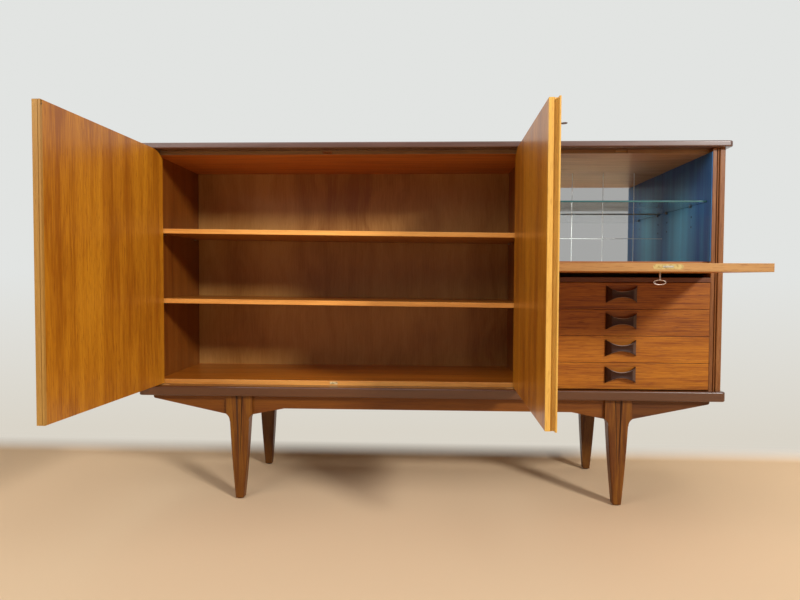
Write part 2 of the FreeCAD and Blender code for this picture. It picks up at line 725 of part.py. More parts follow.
divider = new_body("divider")
pad(divider, "board", "XY", floor_low, slab_top - floor_low, [[
    (divider_front_left, ZERO), (divider_right, ZERO), (divider_right, back_front),
    (divider_left, back_front), (divider_left, s.inner_front),
    (divider_front_left, s.inner_front)]])
soften(divider, "front_edge", s.edge_soft, lambda b, e: (
    at(b.YMin, ZERO) and at(b.YMax, ZERO) and b.ZLength > b.XLength))
cut(divider, "hinge_recess", "YZ", divider_right - s.plate_thick, s.plate_thick, [
    end_plate_outline])
pin_holes(divider, "shelf_pin_holes", divider_left, -1, right_rows)
cut(divider, "bar_pin_holes", "YZ", divider_right - s.pin_in, s.pin_in, [
    (y, z, s.pin_radius) for y, z in bar_rows + spare_rows])
place(divider, 0, 0, 0)
finish(divider)

# Inner boards.
floor_board = panel("floor_board", -inner_x, divider_left, s.inner_front, back_front,
                    floor_low, floor_top)
catch_x = left_free_x - s.catch_place
catch_half = s.catch_long / 2
catch_z = floor_low + s.floor_thick / 2
cut(floor_board, "catch_recess", "XZ", s.inner_front, s.plate_thick, [rectangle(
    catch_x - catch_half, catch_x + catch_half, catch_z - s.catch_high / 2,
    catch_z + s.catch_high / 2)])
soften(floor_board, "front_edge", s.edge_soft, lambda b, e: (
    at(b.YMin, s.inner_front) and at(b.YMax, s.inner_front) and at(b.ZMin, floor_top)
    and at(b.ZMax, floor_top)))
place(floor_board, 0, 0, 0)
finish(floor_board)

ceiling_left = box("ceiling_left", -inner_x, divider_left, s.inner_front, back_front,
                   ceiling_low, slab_top)
ceiling_bar = box("ceiling_bar", divider_right, inner_x, s.inner_front, back_front,
                  ceiling_low, slab_top)
ceiling_slot_z = ceiling_low + s.ceiling_thick / 2
slot_left_x = left_free_x - s.catch_slot_place
left_slot = box("left_slot", slot_left_x - s.catch_slot_long / 2,
                slot_left_x + s.catch_slot_long / 2, s.inner_front,
                s.inner_front + s.slot_deep, ceiling_slot_z - s.catch_slot_high / 2,
                ceiling_slot_z + s.catch_slot_high / 2)
bar_slot = box("bar_slot", flap_lock_x - s.bar_slot_long / 2,
               flap_lock_x + s.bar_slot_long / 2, s.inner_front,
               s.inner_front + s.slot_deep, ceiling_slot_z - s.catch_slot_high / 2, slab_top)
ceiling_boards = group("ceiling_boards", [
    minus("ceiling_left_cut", ceiling_left, left_slot),
    minus("ceiling_bar_cut", ceiling_bar, bar_slot)])
place(ceiling_boards, 0, 0, 0)
finish(ceiling_boards)

back_panel = panel("back_panel", -inner_x - s.back_lap, inner_x + s.back_lap, back_front,
                   back_front + s.back_thick, floor_low, slab_top)
place(back_panel, 0, 0, 0)
finish(back_panel)


def shelf(label, top, fall):
    left = -inner_x + s.shelf_gap
    right = divider_left - s.shelf_gap
    low = top - s.shelf_thick
    body = new_body(label)
    pad(body, "board", "XZ", s.inner_front, back_front - s.shelf_back_gap - s.inner_front, [[
        (left, low), (right, low - fall), (right, top - fall), (left, top)]])
    soften(body, "front_edge", s.edge_soft, lambda b, e: (
        at(b.YMin, s.inner_front) and at(b.YMax, s.inner_front) and b.XLength > b.ZLength))
    place(body, 0, 0, 0)
    return finish(body)


for label, top, fall in shelves:
    shelf(label, top, fall)

pins = []
for y, z in left_rows:
    pins.append(rod("pin", s.pin_radius, s.pin_in + s.pin_out, -inner_x - s.pin_in, y, z, "x"))
for y, z in right_rows:
    pins.append(rod("pin", s.pin_radius, s.pin_in + s.pin_out, divider_left + s.pin_in, y, z,
                    "-x"))
for y, z in bar_rows:
    pins.append(rod("pin", s.pin_radius, s.pin_in + s.pin_out + s.lining_thick,
                    divider_right - s.pin_in, y, z, "x"))
    pins.append(rod("pin", s.pin_radius, s.pin_in + s.pin_out + s.lining_thick,
                    inner_x + s.pin_in, y, z, "-x"))
shelf_pins = group("shelf_pins", pins)
place(shelf_pins, 0, 0, 0)
finish(shelf_pins)

# Bar.
bar_floor = panel("bar_floor", divider_right, inner_x, s.bar_floor_front, back_front,
                  bar_floor_low, bar_floor_top)
soften(bar_floor, "front_edge", s.edge_soft, lambda b, e: (
    at(b.YMin, s.bar_floor_front) and at(b.YMax, s.bar_floor_front) and b.XLength > b.ZLength))
place(bar_floor, 0, 0, 0)
finish(bar_floor)

drawer_rail = panel("drawer_rail", divider_right, inner_x, s.rail_front,
                    s.rail_front + s.rail_depth, rail_low, rail_high)
soften(drawer_rail, "front_edge", s.edge_soft, lambda b, e: (
    at(b.YMin, s.rail_front) and at(b.YMax, s.rail_front) and b.XLength > b.ZLength))
place(drawer_rail, 0, 0, 0)
finish(drawer_rail)

bar_mirror = panel("bar_mirror", divider_right, inner_x, mirror_front, back_front,
                   bar_floor_top, ceiling_low)
field = (lining_high_x - lining_low_x) * s.mirror_field_share
line_half = s.mirror_line / 2
for k, share in enumerate(MIRROR_LINE_SHARES, start=1):
    x = bar_middle - s.mirror_shift + field * share
    cut(bar_mirror, "line_up_%d" % k, "XZ", mirror_front, s.mirror_cut, [
        rectangle(x - line_half, x + line_half, bar_floor_top, ceiling_low)])
for k in (1, 2):
    z = ceiling_low - bar_high * s.mirror_row_share * k
    cut(bar_mirror, "line_across_%d" % k, "XZ", mirror_front, s.mirror_cut, [
        rectangle(divider_right, inner_x, z - line_half, z + line_half)])
place(bar_mirror, 0, 0, 0)
finish(bar_mirror)

for label, x_low, x_high in (("bar_lining_left", divider_right, lining_low_x),
                             ("bar_lining_right", lining_high_x, inner_x)):
    lining = panel(label, x_low, x_high, s.lining_front, mirror_front, bar_floor_top,
                   ceiling_low)
    cut(lining, "pin_holes", "YZ", x_low, s.lining_thick, [
        (y, z, s.pin_radius) for y, z in bar_rows + spare_rows])
    place(lining, 0, 0, 0)
    finish(lining)

glass_shelf = panel("glass_shelf", lining_low_x + s.shelf_gap, lining_high_x - s.shelf_gap,
                    s.glass_front, mirror_front - s.glass_back_gap,
                    glass_top - s.glass_thick, glass_top)
soften(glass_shelf, "edges", s.edge_soft, lambda b, e: (
    at(b.YMin, s.glass_front) and at(b.YMax, s.glass_front) and b.XLength > b.ZLength))
place(glass_shelf, 0, 0, 0)
finish(glass_shelf)

# Hinge plates with their pins: two above, two below, and one at each end of the flap.
upper_bush_low = door_top - s.bush_drop - s.bush_long
plates = []
for x, sign in ((left_pivot_x, 1), (right_pivot_x, -1)):
    edge = x - s.pivot_inset * sign
    far = edge + s.plate_long * sign
    x_low, x_high = (edge, far) if sign > 0 else (far, edge)
    upper = box("plate", x_low, x_high, door_half - plate_half, door_half + plate_half,
                slab_top, slab_top + s.plate_thick)
    pin_low = upper_bush_low + s.pivot_end
    upper_pin = rod("pin", s.pivot_radius, slab_top - pin_low + s.plate_thick / 2, x,
                    door_half, pin_low)
    plates.append(plus("upper_plate", upper, upper_pin))
    lower = box("plate", x_low, x_high, door_half - plate_half, door_half + plate_half,
                floor_low - s.plate_thick, floor_low)
    lower_pin = rod("pin", s.pivot_radius,
                    s.plate_thick / 2 + s.door_gap + s.bush_long - s.pivot_end, x, door_half,
                    floor_low - s.plate_thick / 2)
    plates.append(plus("lower_plate", lower, lower_pin))
for wall, sign in ((divider_right, 1), (inner_x, -1)):
    x_low, x_high = ((wall - s.plate_thick, wall) if sign > 0
                     else (wall, wall + s.plate_thick))
    end_plate = box("plate", x_low, x_high, flap_half - plate_half, flap_half + plate_half,
                    flap_pivot_z - s.pivot_inset, flap_pivot_z - s.pivot_inset + s.plate_long)
    end_pin = rod("pin", s.pivot_radius,
                  s.plate_thick / 2 + s.flap_side_gap + s.bush_long - s.pivot_end,
                  wall - s.plate_thick / 2 * sign, flap_half, flap_pivot_z,
                  "x" if sign > 0 else "-x")
    plates.append(plus("end_plate", end_plate, end_pin))
hinge_plates = group("hinge_plates", plates)
place(hinge_plates, 0, 0, 0)
finish(hinge_plates)

# Strike plates in the upper slab and the catch plate in the floor board's edge.
strike_list = []
for x, y in strikes:
    strike = box("strike", x - strike_half, x + strike_half, y - strike_side, y + strike_side,
                 slab_top, slab_top + s.strike_thick)
    slot = box("strike_slot", x - slot_half, x + slot_half, y - slot_side, y + slot_side,
               slab_top, slab_top + s.strike_thick)
    strike_list.append(minus("strike_cut", strike, slot))
strike_list.append(box("catch", catch_x - catch_half, catch_x + catch_half, s.inner_front,
                       s.inner_front + s.plate_thick, catch_z - s.catch_high / 2,
                       catch_z + s.catch_high / 2))
strike_plates = group("strike_plates", strike_list)
place(strike_plates, 0, 0, 0)
finish(strike_plates)

# Doors, each with its origin on its pivot at floor level. sign is 1 for the left door, whose
# free end lies to the right, and -1 for the right door.


def door_panel(label, sign, free):
    """The door's board: plan outline with a rounded outer hinge edge, cut at the top corner."""
    body = new_body(label)
    hinge = -s.pivot_inset
    r = s.hinge_round
    side = 1 if sign > 0 else -1
    plan = [(hinge + r, -door_half), (free, -door_half), (free, door_half),
            (hinge, door_half), (hinge, -door_half + r), (hinge + r, -door_half, r, side)]
    plan = plan[1:]
    plan = [(corner[0] * sign,) + corner[1:] for corner in plan]
    pad(body, "board", "XY", door_low, door_top - door_low, [plan])
    lowest = door_top - s.relief_high
    corner_cut = [(hinge * sign, lowest),
                  ((hinge + s.relief_long) * sign, door_top, s.relief_radius,
                   -1 if sign > 0 else 1),
                  (hinge * sign, door_top)]
    cut(body, "hinge_corner", "XZ", -door_half, s.front_thick, [corner_cut])
    cut(body, "lower_bush_hole", "XY", door_low, s.bush_long, [(ZERO, ZERO, s.bush_radius)])
    cut(body, "upper_bush_hole", "XY", upper_bush_low, door_top - upper_bush_low, [
        (ZERO, ZERO, s.bush_radius)])
    return body


def bushes(label, centres, towards):
    rings = []
    for x, y, z in centres:
        outer = rod("bush", s.bush_radius, s.bush_long, x, y, z, towards)
        bore = rod("bore", s.pivot_radius + s.pivot_clear, s.bush_long, x, y, z, towards)
        rings.append(minus("bush_cut", outer, bore))
    return group(label, rings)


left_angle = -s.left_open
right_angle = s.right_open


def place_left(thing):
    place(thing, left_pivot_x, door_half, 0, FreeCAD.Vector(0, 0, 1), left_angle)
    return finish(thing)


def place_right(thing):
    place(thing, right_pivot_x, door_half, 0, FreeCAD.Vector(0, 0, 1), right_angle)
    return finish(thing)


door_left = door_panel("door_left", 1, left_reach - s.lipping)
place_left(door_left)

door_left_edge = new_body("door_left_edge")
groove_low = -door_half + s.lip_outer
pad(door_left_edge, "lipping", "XY", door_low, door_top - door_low, [[
    (left_reach - s.lipping, -door_half), (left_reach, -door_half),
    (left_reach, groove_low), (left_reach - s.lip_cut, groove_low),
    (left_reach - s.lip_cut, groove_low + s.lip_groove), (left_reach, groove_low + s.lip_groove),
    (left_reach, door_half), (left_reach - s.lipping, door_half)]])
slide_local = left_reach - s.slide_place
slide_hole_low = door_top - s.slide_rest - s.slide_long
cut(door_left_edge, "slide_hole", "XY", slide_hole_low, door_top - slide_hole_low, [
    (slide_local, ZERO, s.slide_hole)])
knob_z = door_top - s.slide_knob_drop
knob_free = s.slide_knob + s.bolt_clear
cut(door_left_edge, "knob_slot", "XZ", ZERO, door_half, [rectangle(
    slide_local - knob_free, slide_local + knob_free, knob_z - knob_free,
    knob_z + s.slide_travel + knob_free)])
place_left(door_left_edge)

door_left_bushes = bushes("door_left_bushes", [
    (ZERO, ZERO, door_low), (ZERO, ZERO, upper_bush_low)], "z")
place_left(door_left_bushes)

slide_rod = rod("slide_rod", s.slide_radius, s.slide_long, slide_local, ZERO, slide_hole_low)
slide_knob = rod("slide_knob", s.slide_knob, door_half + s.slide_knob_out, slide_local, ZERO,
                 knob_z, "y")
door_left_bolt = plus("door_left_bolt", slide_rod, slide_knob)
place_left(door_left_bolt)

# Locks. The same lock sits in the right door's top edge and in the flap's free edge: origin of
# the piece it rides on, middle x, upper edge z and middle y of its edge plate.


def plate_outline(x, y, long, wide):
    """Rounded ends: two straight sides and two half circles."""
    r = wide / 2
    a = long / 2 - r
    return [(x - a, y - r, r, 1), (x + a, y - r), (x + a, y + r, r, 1), (x - a, y + r)]


def oval_outline(x, y, long, wide, tip):
    """Two long arcs above and below that run smoothly into the arcs of the two ends."""
    a = long / 2 - tip
    b = wide / 2
    flat = (a * a + b * b - tip * tip) / ((b - tip) * 2)
    reach = flat * a / (flat - tip)
    rise = (flat - b) * tip / (flat - tip)
    return [(x - reach, y - rise, tip, 1), (x + reach, y - rise, flat, 1),
            (x + reach, y + rise, tip, 1), (x - reach, y + rise, flat, 1)]


def lock_recess(body, x, y, top, depth):
    """Housing for the edge plate and the case; depth is how far down the body reaches."""
    cut(body, "plate_recess", "XY", top - s.forend_thick, s.forend_thick, [
        plate_outline(x, y, s.forend_long, s.forend_wide)])
    case_top = top - s.forend_thick
    cut(body, "case_mortise", "XY", case_top - depth, depth, [rectangle(
        x - s.case_long / 2, x + s.case_long / 2, y - s.case_wide / 2, y + s.case_wide / 2)])
    return body


def screw_holes(body, x, y, top, depth):
    cut(body, "screw_holes", "XY", top - s.forend_thick - depth, depth, [
        (x - s.screw_place, y, s.screw_core), (x + s.screw_place, y, s.screw_core)])


def lock_case(label, x, y, top, key_x):
    """Edge plate, hollow case and two countersunk screws."""
    body = new_body(label + "_case")
    case_top = top - s.forend_thick
    case_low = case_top - s.case_deep
    half_long = s.case_long / 2
    half_wide = s.case_wide / 2
    pad(body, "plate", "XY", case_top, s.forend_thick, [
        plate_outline(x, y, s.forend_long, s.forend_wide)])
    pad(body, "case", "XY", case_low, s.case_deep, [rectangle(
        x - half_long, x + half_long, y - half_wide, y + half_wide)])
    cut(body, "inside", "XY", case_low + s.case_wall, s.case_deep - s.case_wall, [rectangle(
        x - half_long + s.case_wall, x + half_long - s.case_wall,
        y - half_wide + s.case_wall, y + half_wide - s.case_wall)])
    cut(body, "bolt_slot", "XY", case_top, s.forend_thick, [rectangle(
        x - s.bolt_long / 2 - s.bolt_clear, x + s.bolt_long / 2 + s.bolt_clear,
        y - s.bolt_thick / 2 - s.bolt_clear, y + s.bolt_thick / 2 + s.bolt_clear)])
    cut(body, "keyhole", "XZ", y - half_wide, s.case_wall, [
        (key_x, top - s.backset, s.keyhole_radius)])
    heads = []
    screws = []
    for place_x in (x - s.screw_place, x + s.screw_place):
        for kind, goal in (("hole", heads), ("screw", screws)):
            cone = doc.addObject("Part::Cone", "%s_%s_head" % (label, kind))
            bind(cone, "Radius1", s.screw_core)
            bind(cone, "Radius2", s.screw_head)
            bind(cone, "Height", s.forend_thick)
            bind(cone, "Placement.Base.x", place_x)
            bind(cone, "Placement.Base.y", y)
            bind(cone, "Placement.Base.z", case_top)
            goal.append(cone)
        shaft = rod("%s_shaft" % label, s.screw_core, s.screw_long, place_x, y,
                    case_top - s.screw_long)
        slot = box("%s_driver_slot" % label, place_x - s.screw_head, place_x + s.screw_head,
                   y - s.screw_slot / 2, y + s.screw_slot / 2, top - s.screw_slot, top)
        screws[-1] = minus("%s_screw" % label, plus("%s_screw_whole" % label, screws[-1], shaft),
                           slot)
    doc.recompute()
    case = minus(label + "_drilled", body, *heads)
    return group(label, [case] + screws)


def lock_bolt(label, x, y, top):
    low = top - s.backset + s.bolt_low
    body = new_body(label)
    pad(body, "tongue", "XY", low, top - s.bolt_clear - low, [rectangle(
        x - s.bolt_long / 2, x + s.bolt_long / 2, y - s.bolt_thick / 2, y + s.bolt_thick / 2)])
    soften(body, "nose", s.case_wall, lambda b, e: (
        at(b.ZMin, top - s.bolt_clear) and at(b.ZMax, top - s.bolt_clear)
        and b.XLength > b.YLength))
    return body


def key(label, x, y, z, face):
    """Stem towards the front with a collar, an oval ring and a bit inside the case."""
    body = new_body(label)
    end = y + s.stem_in
    outside = face - s.stem_out
    pad(body, "stem", "XZ", outside, end - outside, [(x, z, s.stem_radius)])
    pad(body, "collar", "XZ", outside, s.collar_long, [(x, z, s.collar_radius)])
    pad(body, "bit", "XZ", y - s.bit_wide / 2, s.bit_wide, [rectangle(
        x - s.bit_long, x, z - s.bit_thick / 2, z + s.bit_thick / 2)])
    middle = outside - s.bow_wide / 2 + s.bow_wire / 2
    pad(body, "ring", "XY", z - s.bow_wire / 2, s.bow_wire, [
        oval_outline(x, middle, s.bow_long, s.bow_wide, s.bow_tip),
        oval_outline(x, middle, s.bow_long - s.bow_wire * 2, s.bow_wide - s.bow_wire * 2,
                     s.bow_tip - s.bow_wire)])
    return body


def keyhole_plate(label, x, z, face):
    body = new_body(label)
    pad(body, "ring", "XZ", face - s.plate_ring_thick, s.plate_ring_thick, [
        (x, z, s.plate_ring), (x, z, s.keyhole_radius)])
    soften(body, "rim", s.plate_ring_thick / 2, lambda b, e: (
        at(b.YMin, face - s.plate_ring_thick) and at(b.YMax, face - s.plate_ring_thick)
        and b.XLength > s.plate_ring.value), "Chamfer")
    return body


door_right = door_panel("door_right", -1, right_reach - s.lipping)
lock_x = -right_reach + s.door_lock_place
lock_key_x = lock_x - s.key_shift
lock_key_z = door_top - s.backset
lock_recess(door_right, lock_x, ZERO, door_top, s.case_deep)
screw_holes(door_right, lock_x, ZERO, door_top, s.screw_long)
cut(door_right, "keyhole", "XZ", -door_half, door_half - s.case_wide / 2, [
    (lock_key_x, lock_key_z, s.keyhole_radius)])
place_right(door_right)

door_right_strip = new_body("door_right_strip")
band_low = door_half - s.strip_band
edge_x = -right_reach
lap_low = -door_half - s.strip_clear
proud = -door_half - s.strip_proud
bead = s.strip_bead
root_x = edge_x + s.strip_cove
pad(door_right_strip, "strip", "XY", door_low, door_top - door_low, [[
    (edge_x + s.lipping, door_half), (edge_x, door_half), (edge_x, band_low),
    (root_x, band_low - s.strip_cove, s.strip_cove, -1),
    (root_x, lap_low), (edge_x - s.strip_lap + bead, lap_low),
    (edge_x - s.strip_lap, lap_low - bead, bead, 1),
    (edge_x - s.strip_lap, proud + bead), (edge_x - s.strip_lap + bead, proud, bead, 1),
    (edge_x + s.strip_grip - bead, proud), (edge_x + s.strip_grip, proud + bead, bead, 1),
    (edge_x + s.strip_grip, -door_half), (edge_x + s.lipping, -door_half)]])
place_right(door_right_strip)

door_right_bushes = bushes("door_right_bushes", [
    (ZERO, ZERO, door_low), (ZERO, ZERO, upper_bush_low)], "z")
place_right(door_right_bushes)
place_right(lock_case("door_lock", lock_x, ZERO, door_top, lock_key_x))
place_right(lock_bolt("door_lock_bolt", lock_x, ZERO, door_top))
place_right(key("door_key", lock_key_x, ZERO, lock_key_z, -door_half))
place_right(keyhole_plate("door_keyhole_plate", lock_key_x, lock_key_z, -door_half))

# Flap, with its origin on its pivot line in the middle of the bar.

def place_flap(thing):
    place(thing, bar_middle, flap_half, flap_pivot_z, FreeCAD.Vector(1, 0, 0), s.flap_open)
    return finish(thing)


flap_panel = new_body("flap_panel")
flap_edge_low = flap_top - s.lipping
r = s.hinge_round
pad(flap_panel, "board", "YZ", -half_flap, half_flap * 2, [[
    (-flap_half + r, -s.flap_inset), (flap_half, -s.flap_inset), (flap_half, flap_edge_low),
    (-flap_half, flap_edge_low), (-flap_half, -s.flap_inset + r),
    (-flap_half + r, -s.flap_inset, r, 1)][1:]])
cut(flap_panel, "left_bush_hole", "YZ", -half_flap, s.bush_long, [
    (ZERO, ZERO, s.bush_radius)])
cut(flap_panel, "right_bush_hole", "YZ", half_flap - s.bush_long, s.bush_long, [
    (ZERO, ZERO, s.bush_radius)])
flap_lock_local = flap_lock_x - bar_middle
flap_key_x = flap_lock_local - s.key_shift
flap_key_z = flap_top - s.backset
flap_lock_y = s.forend_shift
case_below = s.case_deep + s.forend_thick - s.lipping
cut(flap_panel, "case_mortise", "XY", flap_edge_low - case_below, case_below, [rectangle(
    flap_lock_local - s.case_long / 2, flap_lock_local + s.case_long / 2,
    flap_lock_y - s.case_wide / 2, flap_lock_y + s.case_wide / 2)])
screw_below = s.screw_long + s.forend_thick - s.lipping
cut(flap_panel, "screw_holes", "XY", flap_edge_low - screw_below, screw_below, [
    (flap_lock_local - s.screw_place, flap_lock_y, s.screw_core),
    (flap_lock_local + s.screw_place, flap_lock_y, s.screw_core)])
cut(flap_panel, "keyhole", "XZ", -flap_half, flap_half + flap_lock_y - s.case_wide / 2, [
    (flap_key_x, flap_key_z, s.keyhole_radius)])
place_flap(flap_panel)

flap_edge = panel("flap_edge", -half_flap, half_flap, -flap_half, flap_half, flap_edge_low,
                  flap_top)
soften(flap_edge, "edges", s.edge_soft, lambda b, e: (
    at(b.ZMin, flap_top) and at(b.ZMax, flap_top) and b.XLength > b.YLength))
lock_recess(flap_edge, flap_lock_local, flap_lock_y, flap_top, s.lipping - s.forend_thick)
screw_holes(flap_edge, flap_lock_local, flap_lock_y, flap_top, s.lipping - s.forend_thick)
place_flap(flap_edge)

flap_bushes = group("flap_bushes", [])
rings = []
for x in (-half_flap, half_flap - s.bush_long):
    outer = rod("bush", s.bush_radius, s.bush_long, x, ZERO, ZERO, "x")
    bore = rod("bore", s.pivot_radius + s.pivot_clear, s.bush_long, x, ZERO, ZERO, "x")
    rings.append(minus("bush_cut", outer, bore))
flap_bushes.Links = rings
doc.recompute()
place_flap(flap_bushes)
place_flap(lock_case("flap_lock", flap_lock_local, flap_lock_y, flap_top, flap_key_x))
place_flap(lock_bolt("flap_lock_bolt", flap_lock_local, flap_lock_y, flap_top))
place_flap(key("flap_key", flap_key_x, flap_lock_y, flap_key_z, -flap_half))
place_flap(keyhole_plate("flap_keyhole_plate", flap_key_x, flap_key_z, -flap_half))

# Drawers, numbered from the top. Each has its origin at the lower edge of its front.


def pull_outline(length, high, waist):
    """The bow tie: two straight ends and two hollow sides that leave the waist between them."""
    a = length / 2
    b = high / 2
    hollow = (high - waist) / 2
    arc = (a * a + hollow * hollow) / (hollow * 2)
    return [(-a, -b), (a, -b, arc, -1), (a, b), (-a, b, arc, -1)]


def drawer(number_word, low):
    front = panel("drawer_%s_front" % number_word, -half_drawer, half_drawer, ZERO,
                  s.drawer_front_thick, ZERO, drawer_front_high)
    soften(front, "face_edges", s.drawer_round, lambda b, e: (
        at(b.YMin, ZERO) and at(b.YMax, ZERO)))
    place(front, bar_middle, 0, low)
    finish(front)

    side_out = half_drawer + s.front_gap - s.drawer_box_gap
    drawer_back = back_front - s.drawer_back_gap
    tray = panel("drawer_%s_box" % number_word, -side_out, side_out, s.drawer_front_thick,
                 drawer_back, s.drawer_lift, s.drawer_lift + s.drawer_high)
    wall = s.drawer_side
    cut(tray, "inside", "XY", s.drawer_lift + s.drawer_bottom, s.drawer_high - s.drawer_bottom, [
        rectangle(-side_out + wall, side_out - wall, s.drawer_front_thick + wall,
                  drawer_back - wall)])
    middle = s.drawer_lift + s.drawer_high / 2
    half = s.runner_high / 2 + s.runner_clear
    depth = s.runner_out - s.drawer_box_gap + s.runner_clear
    groove = rectangle(s.runner_front - s.runner_clear, drawer_back, middle - half,
                       middle + half)
    cut(tray, "left_groove", "YZ", -side_out, depth, [groove])
    cut(tray, "right_groove", "YZ", side_out - depth, depth, [groove])
    place(tray, bar_middle, 0, low)
    finish(tray)

    pull = new_body("drawer_%s_pull" % number_word)
    root = new_sketch(pull, pull.Name + "_root", "XZ", ZERO)
    draw(root, [pull_outline(s.pull_long, s.pull_root_high, s.pull_root_waist)])
    face = new_sketch(pull, pull.Name + "_face", "XZ", -s.pull_out)
    draw(face, [pull_outline(s.pull_long, s.pull_high, s.pull_waist)])
    loft = pull.newObject("PartDesign::AdditiveLoft", pull.Name + "_loft")
    loft.Profile = root
    loft.Sections = [face]
    loft.Ruled = True
    root.Visibility = face.Visibility = False
    doc.recompute()
    # Each end slopes down towards the drawer front in a carved hollow.
    a = s.pull_long / 2
    for name, sign in (("left_slope", -1), ("right_slope", 1)):
        cut(pull, name, "XY", -s.pull_high, s.pull_high * 2, [[
            ((a - s.pull_bevel) * sign, -s.pull_out),
            (a * sign, -s.pull_edge, s.pull_hollow, 1 if sign > 0 else -1),
            (a * sign, -s.pull_out)]])
    soften(pull, "rim", s.pull_soft, lambda b, e: (
        b.YMax < -s.pull_edge.value / 2 and b.YLength < s.pull_soft.value
        and b.XLength > s.pull_long.value / 2))
    place(pull, bar_middle + s.pull_shift, 0, low + drawer_front_high / 2 + s.pull_raise)
    finish(pull)


drawer_lows = [stack_low + drawer_step * k for k in (3, 2, 1, 0)]
for word, low in zip(("one", "two", "three", "four"), drawer_lows):
    drawer(word, low)

runners = []
for low in drawer_lows:
    middle = low + s.drawer_lift + s.drawer_high / 2
    for x_low, x_high in ((divider_right, divider_right + s.runner_out),
                          (inner_x - s.runner_out, inner_x)):
        runners.append(box("runner", x_low, x_high, s.runner_front, back_front - s.runner_back_gap,
                           middle - s.runner_high / 2, middle + s.runner_high / 2))
drawer_runners = group("drawer_runners", runners)
place(drawer_runners, 0, 0, 0)
finish(drawer_runners)

# Base. A leg is drawn around X = 0 with its straight face at Y = 0; facing is 1 for the front
# legs and -1 for the back legs, whose straight face looks to the back.


def leg(label, x, y, facing, share, fluted):
    body = new_body(label)
    block = s.leg_block * share
    shoulder = s.leg_shoulder * share
    foot = s.leg_foot * share
    start = ZERO if facing > 0 else -s.leg_deep
    pad(body, "shank", "XZ", start, s.leg_deep, [[
        (-foot, s.glide_high), (foot, s.glide_high),
        (shoulder, leg_shoulder_low, s.leg_belly, 1), (shoulder, leg_block_low),
        (-shoulder, leg_block_low), (-shoulder, leg_shoulder_low),
        (-foot, s.glide_high, s.leg_belly, 1)][1:]])
    # The foot is thinner than the block: a wedge comes off the hidden face.
    cut(body, "taper", "YZ", -s.leg_block, s.leg_block * 2, [[
        (s.leg_foot_deep * facing, s.glide_high), (s.leg_deep * facing, leg_block_low),
        (s.leg_deep * facing, s.glide_high)]])
    soften(body, "long_edges", s.leg_round, lambda b, e: (
        b.ZLength > leg_shoulder_low.value / 2 and at(b.YMin, ZERO) and at(b.YMax, ZERO)))
    pad(body, "block", "XZ", start, s.leg_deep, [[
        (-shoulder, leg_shoulder_low), (shoulder, leg_shoulder_low),
        (block, leg_block_low, s.leg_shoulder_curve, -1),
        (block, s.leg_height), (-block, s.leg_height), (-block, leg_block_low),
        (-shoulder, leg_shoulder_low, s.leg_shoulder_curve, -1)][1:]])
    if fluted:
        def ring(name, z, wide, floor, deep):
            sketch = new_sketch(body, body.Name + name, "XY", z)
            draw(sketch, [[(-wide / 2, ZERO), (wide / 2, ZERO), (floor / 2, deep),
                           (-floor / 2, deep)]])
            sketch.Visibility = False
            return sketch
        before = body.Tip.Shape.Volume
        upper = ring("_flute_top", s.leg_height, s.flute_wide, s.flute_floor, s.flute_deep)
        lower = ring("_flute_end", s.leg_height - s.flute_long, s.flute_tip, s.flute_tip_floor,
                     s.flute_tip_deep)
        flute = body.newObject("PartDesign::SubtractiveLoft", body.Name + "_flute")
        flute.Profile = upper
        flute.Sections = [lower]
        flute.Ruled = True
        doc.recompute()
        if flute.Shape.Volume > before - SMALL:
            raise RuntimeError("flute removes nothing")
    place(body, x, y, 0)
    return finish(body)


back_leg_y = s.body_depth - s.leg_front
leg("leg_front_left", -leg_middle, s.leg_front, 1, 1, True)
leg("leg_front_right", leg_middle, s.leg_front, 1, 1, True)
leg("leg_back_left", -leg_middle, back_leg_y, -1, s.leg_back_share, False)
leg("leg_back_right", leg_middle, back_leg_y, -1, s.leg_back_share, False)

apron_low = s.leg_height - s.apron_high
apron_leg_low = s.leg_height - s.apron_leg_high
apron_end = s.half_width - s.apron_end_inset
apron_end_low = s.leg_height - s.apron_end_high
ramp = leg_middle - s.apron_ramp
inner_leg = leg_middle - s.leg_block
outer_leg = leg_middle + s.leg_block
middle_apron = new_body("apron_middle")
pad(middle_apron, "board", "XZ", s.apron_front, s.apron_thick, [[
    (-inner_leg, apron_leg_low), (-ramp, apron_low), (ramp, apron_low),
    (inner_leg, apron_leg_low), (inner_leg, s.leg_height), (-inner_leg, s.leg_height)]])
soften(middle_apron, "lower_edge", s.edge_soft, lambda b, e: (
    at(b.YMin, s.apron_front) and at(b.YMax, s.apron_front)
    and b.ZMax < number(apron_low + s.edge_soft) and b.XLength > b.ZLength))
ends = []
for name, sign in (("apron_left", -1), ("apron_right", 1)):
    end = new_body(name)
    r = s.apron_end_round
    side = -1 if sign > 0 else 1
    pad(end, "board", "XZ", s.apron_front, s.apron_thick, [[
        (outer_leg * sign, apron_leg_low), (outer_leg * sign, s.leg_height),
        (apron_end * sign, s.leg_height), (apron_end * sign, apron_end_low + r),
        ((apron_end - r) * sign, apron_end_low, r, side)]])
    ends.append(end)
apron = group("apron_front", [middle_apron] + ends)
place(apron, 0, 0, 0)
finish(apron)

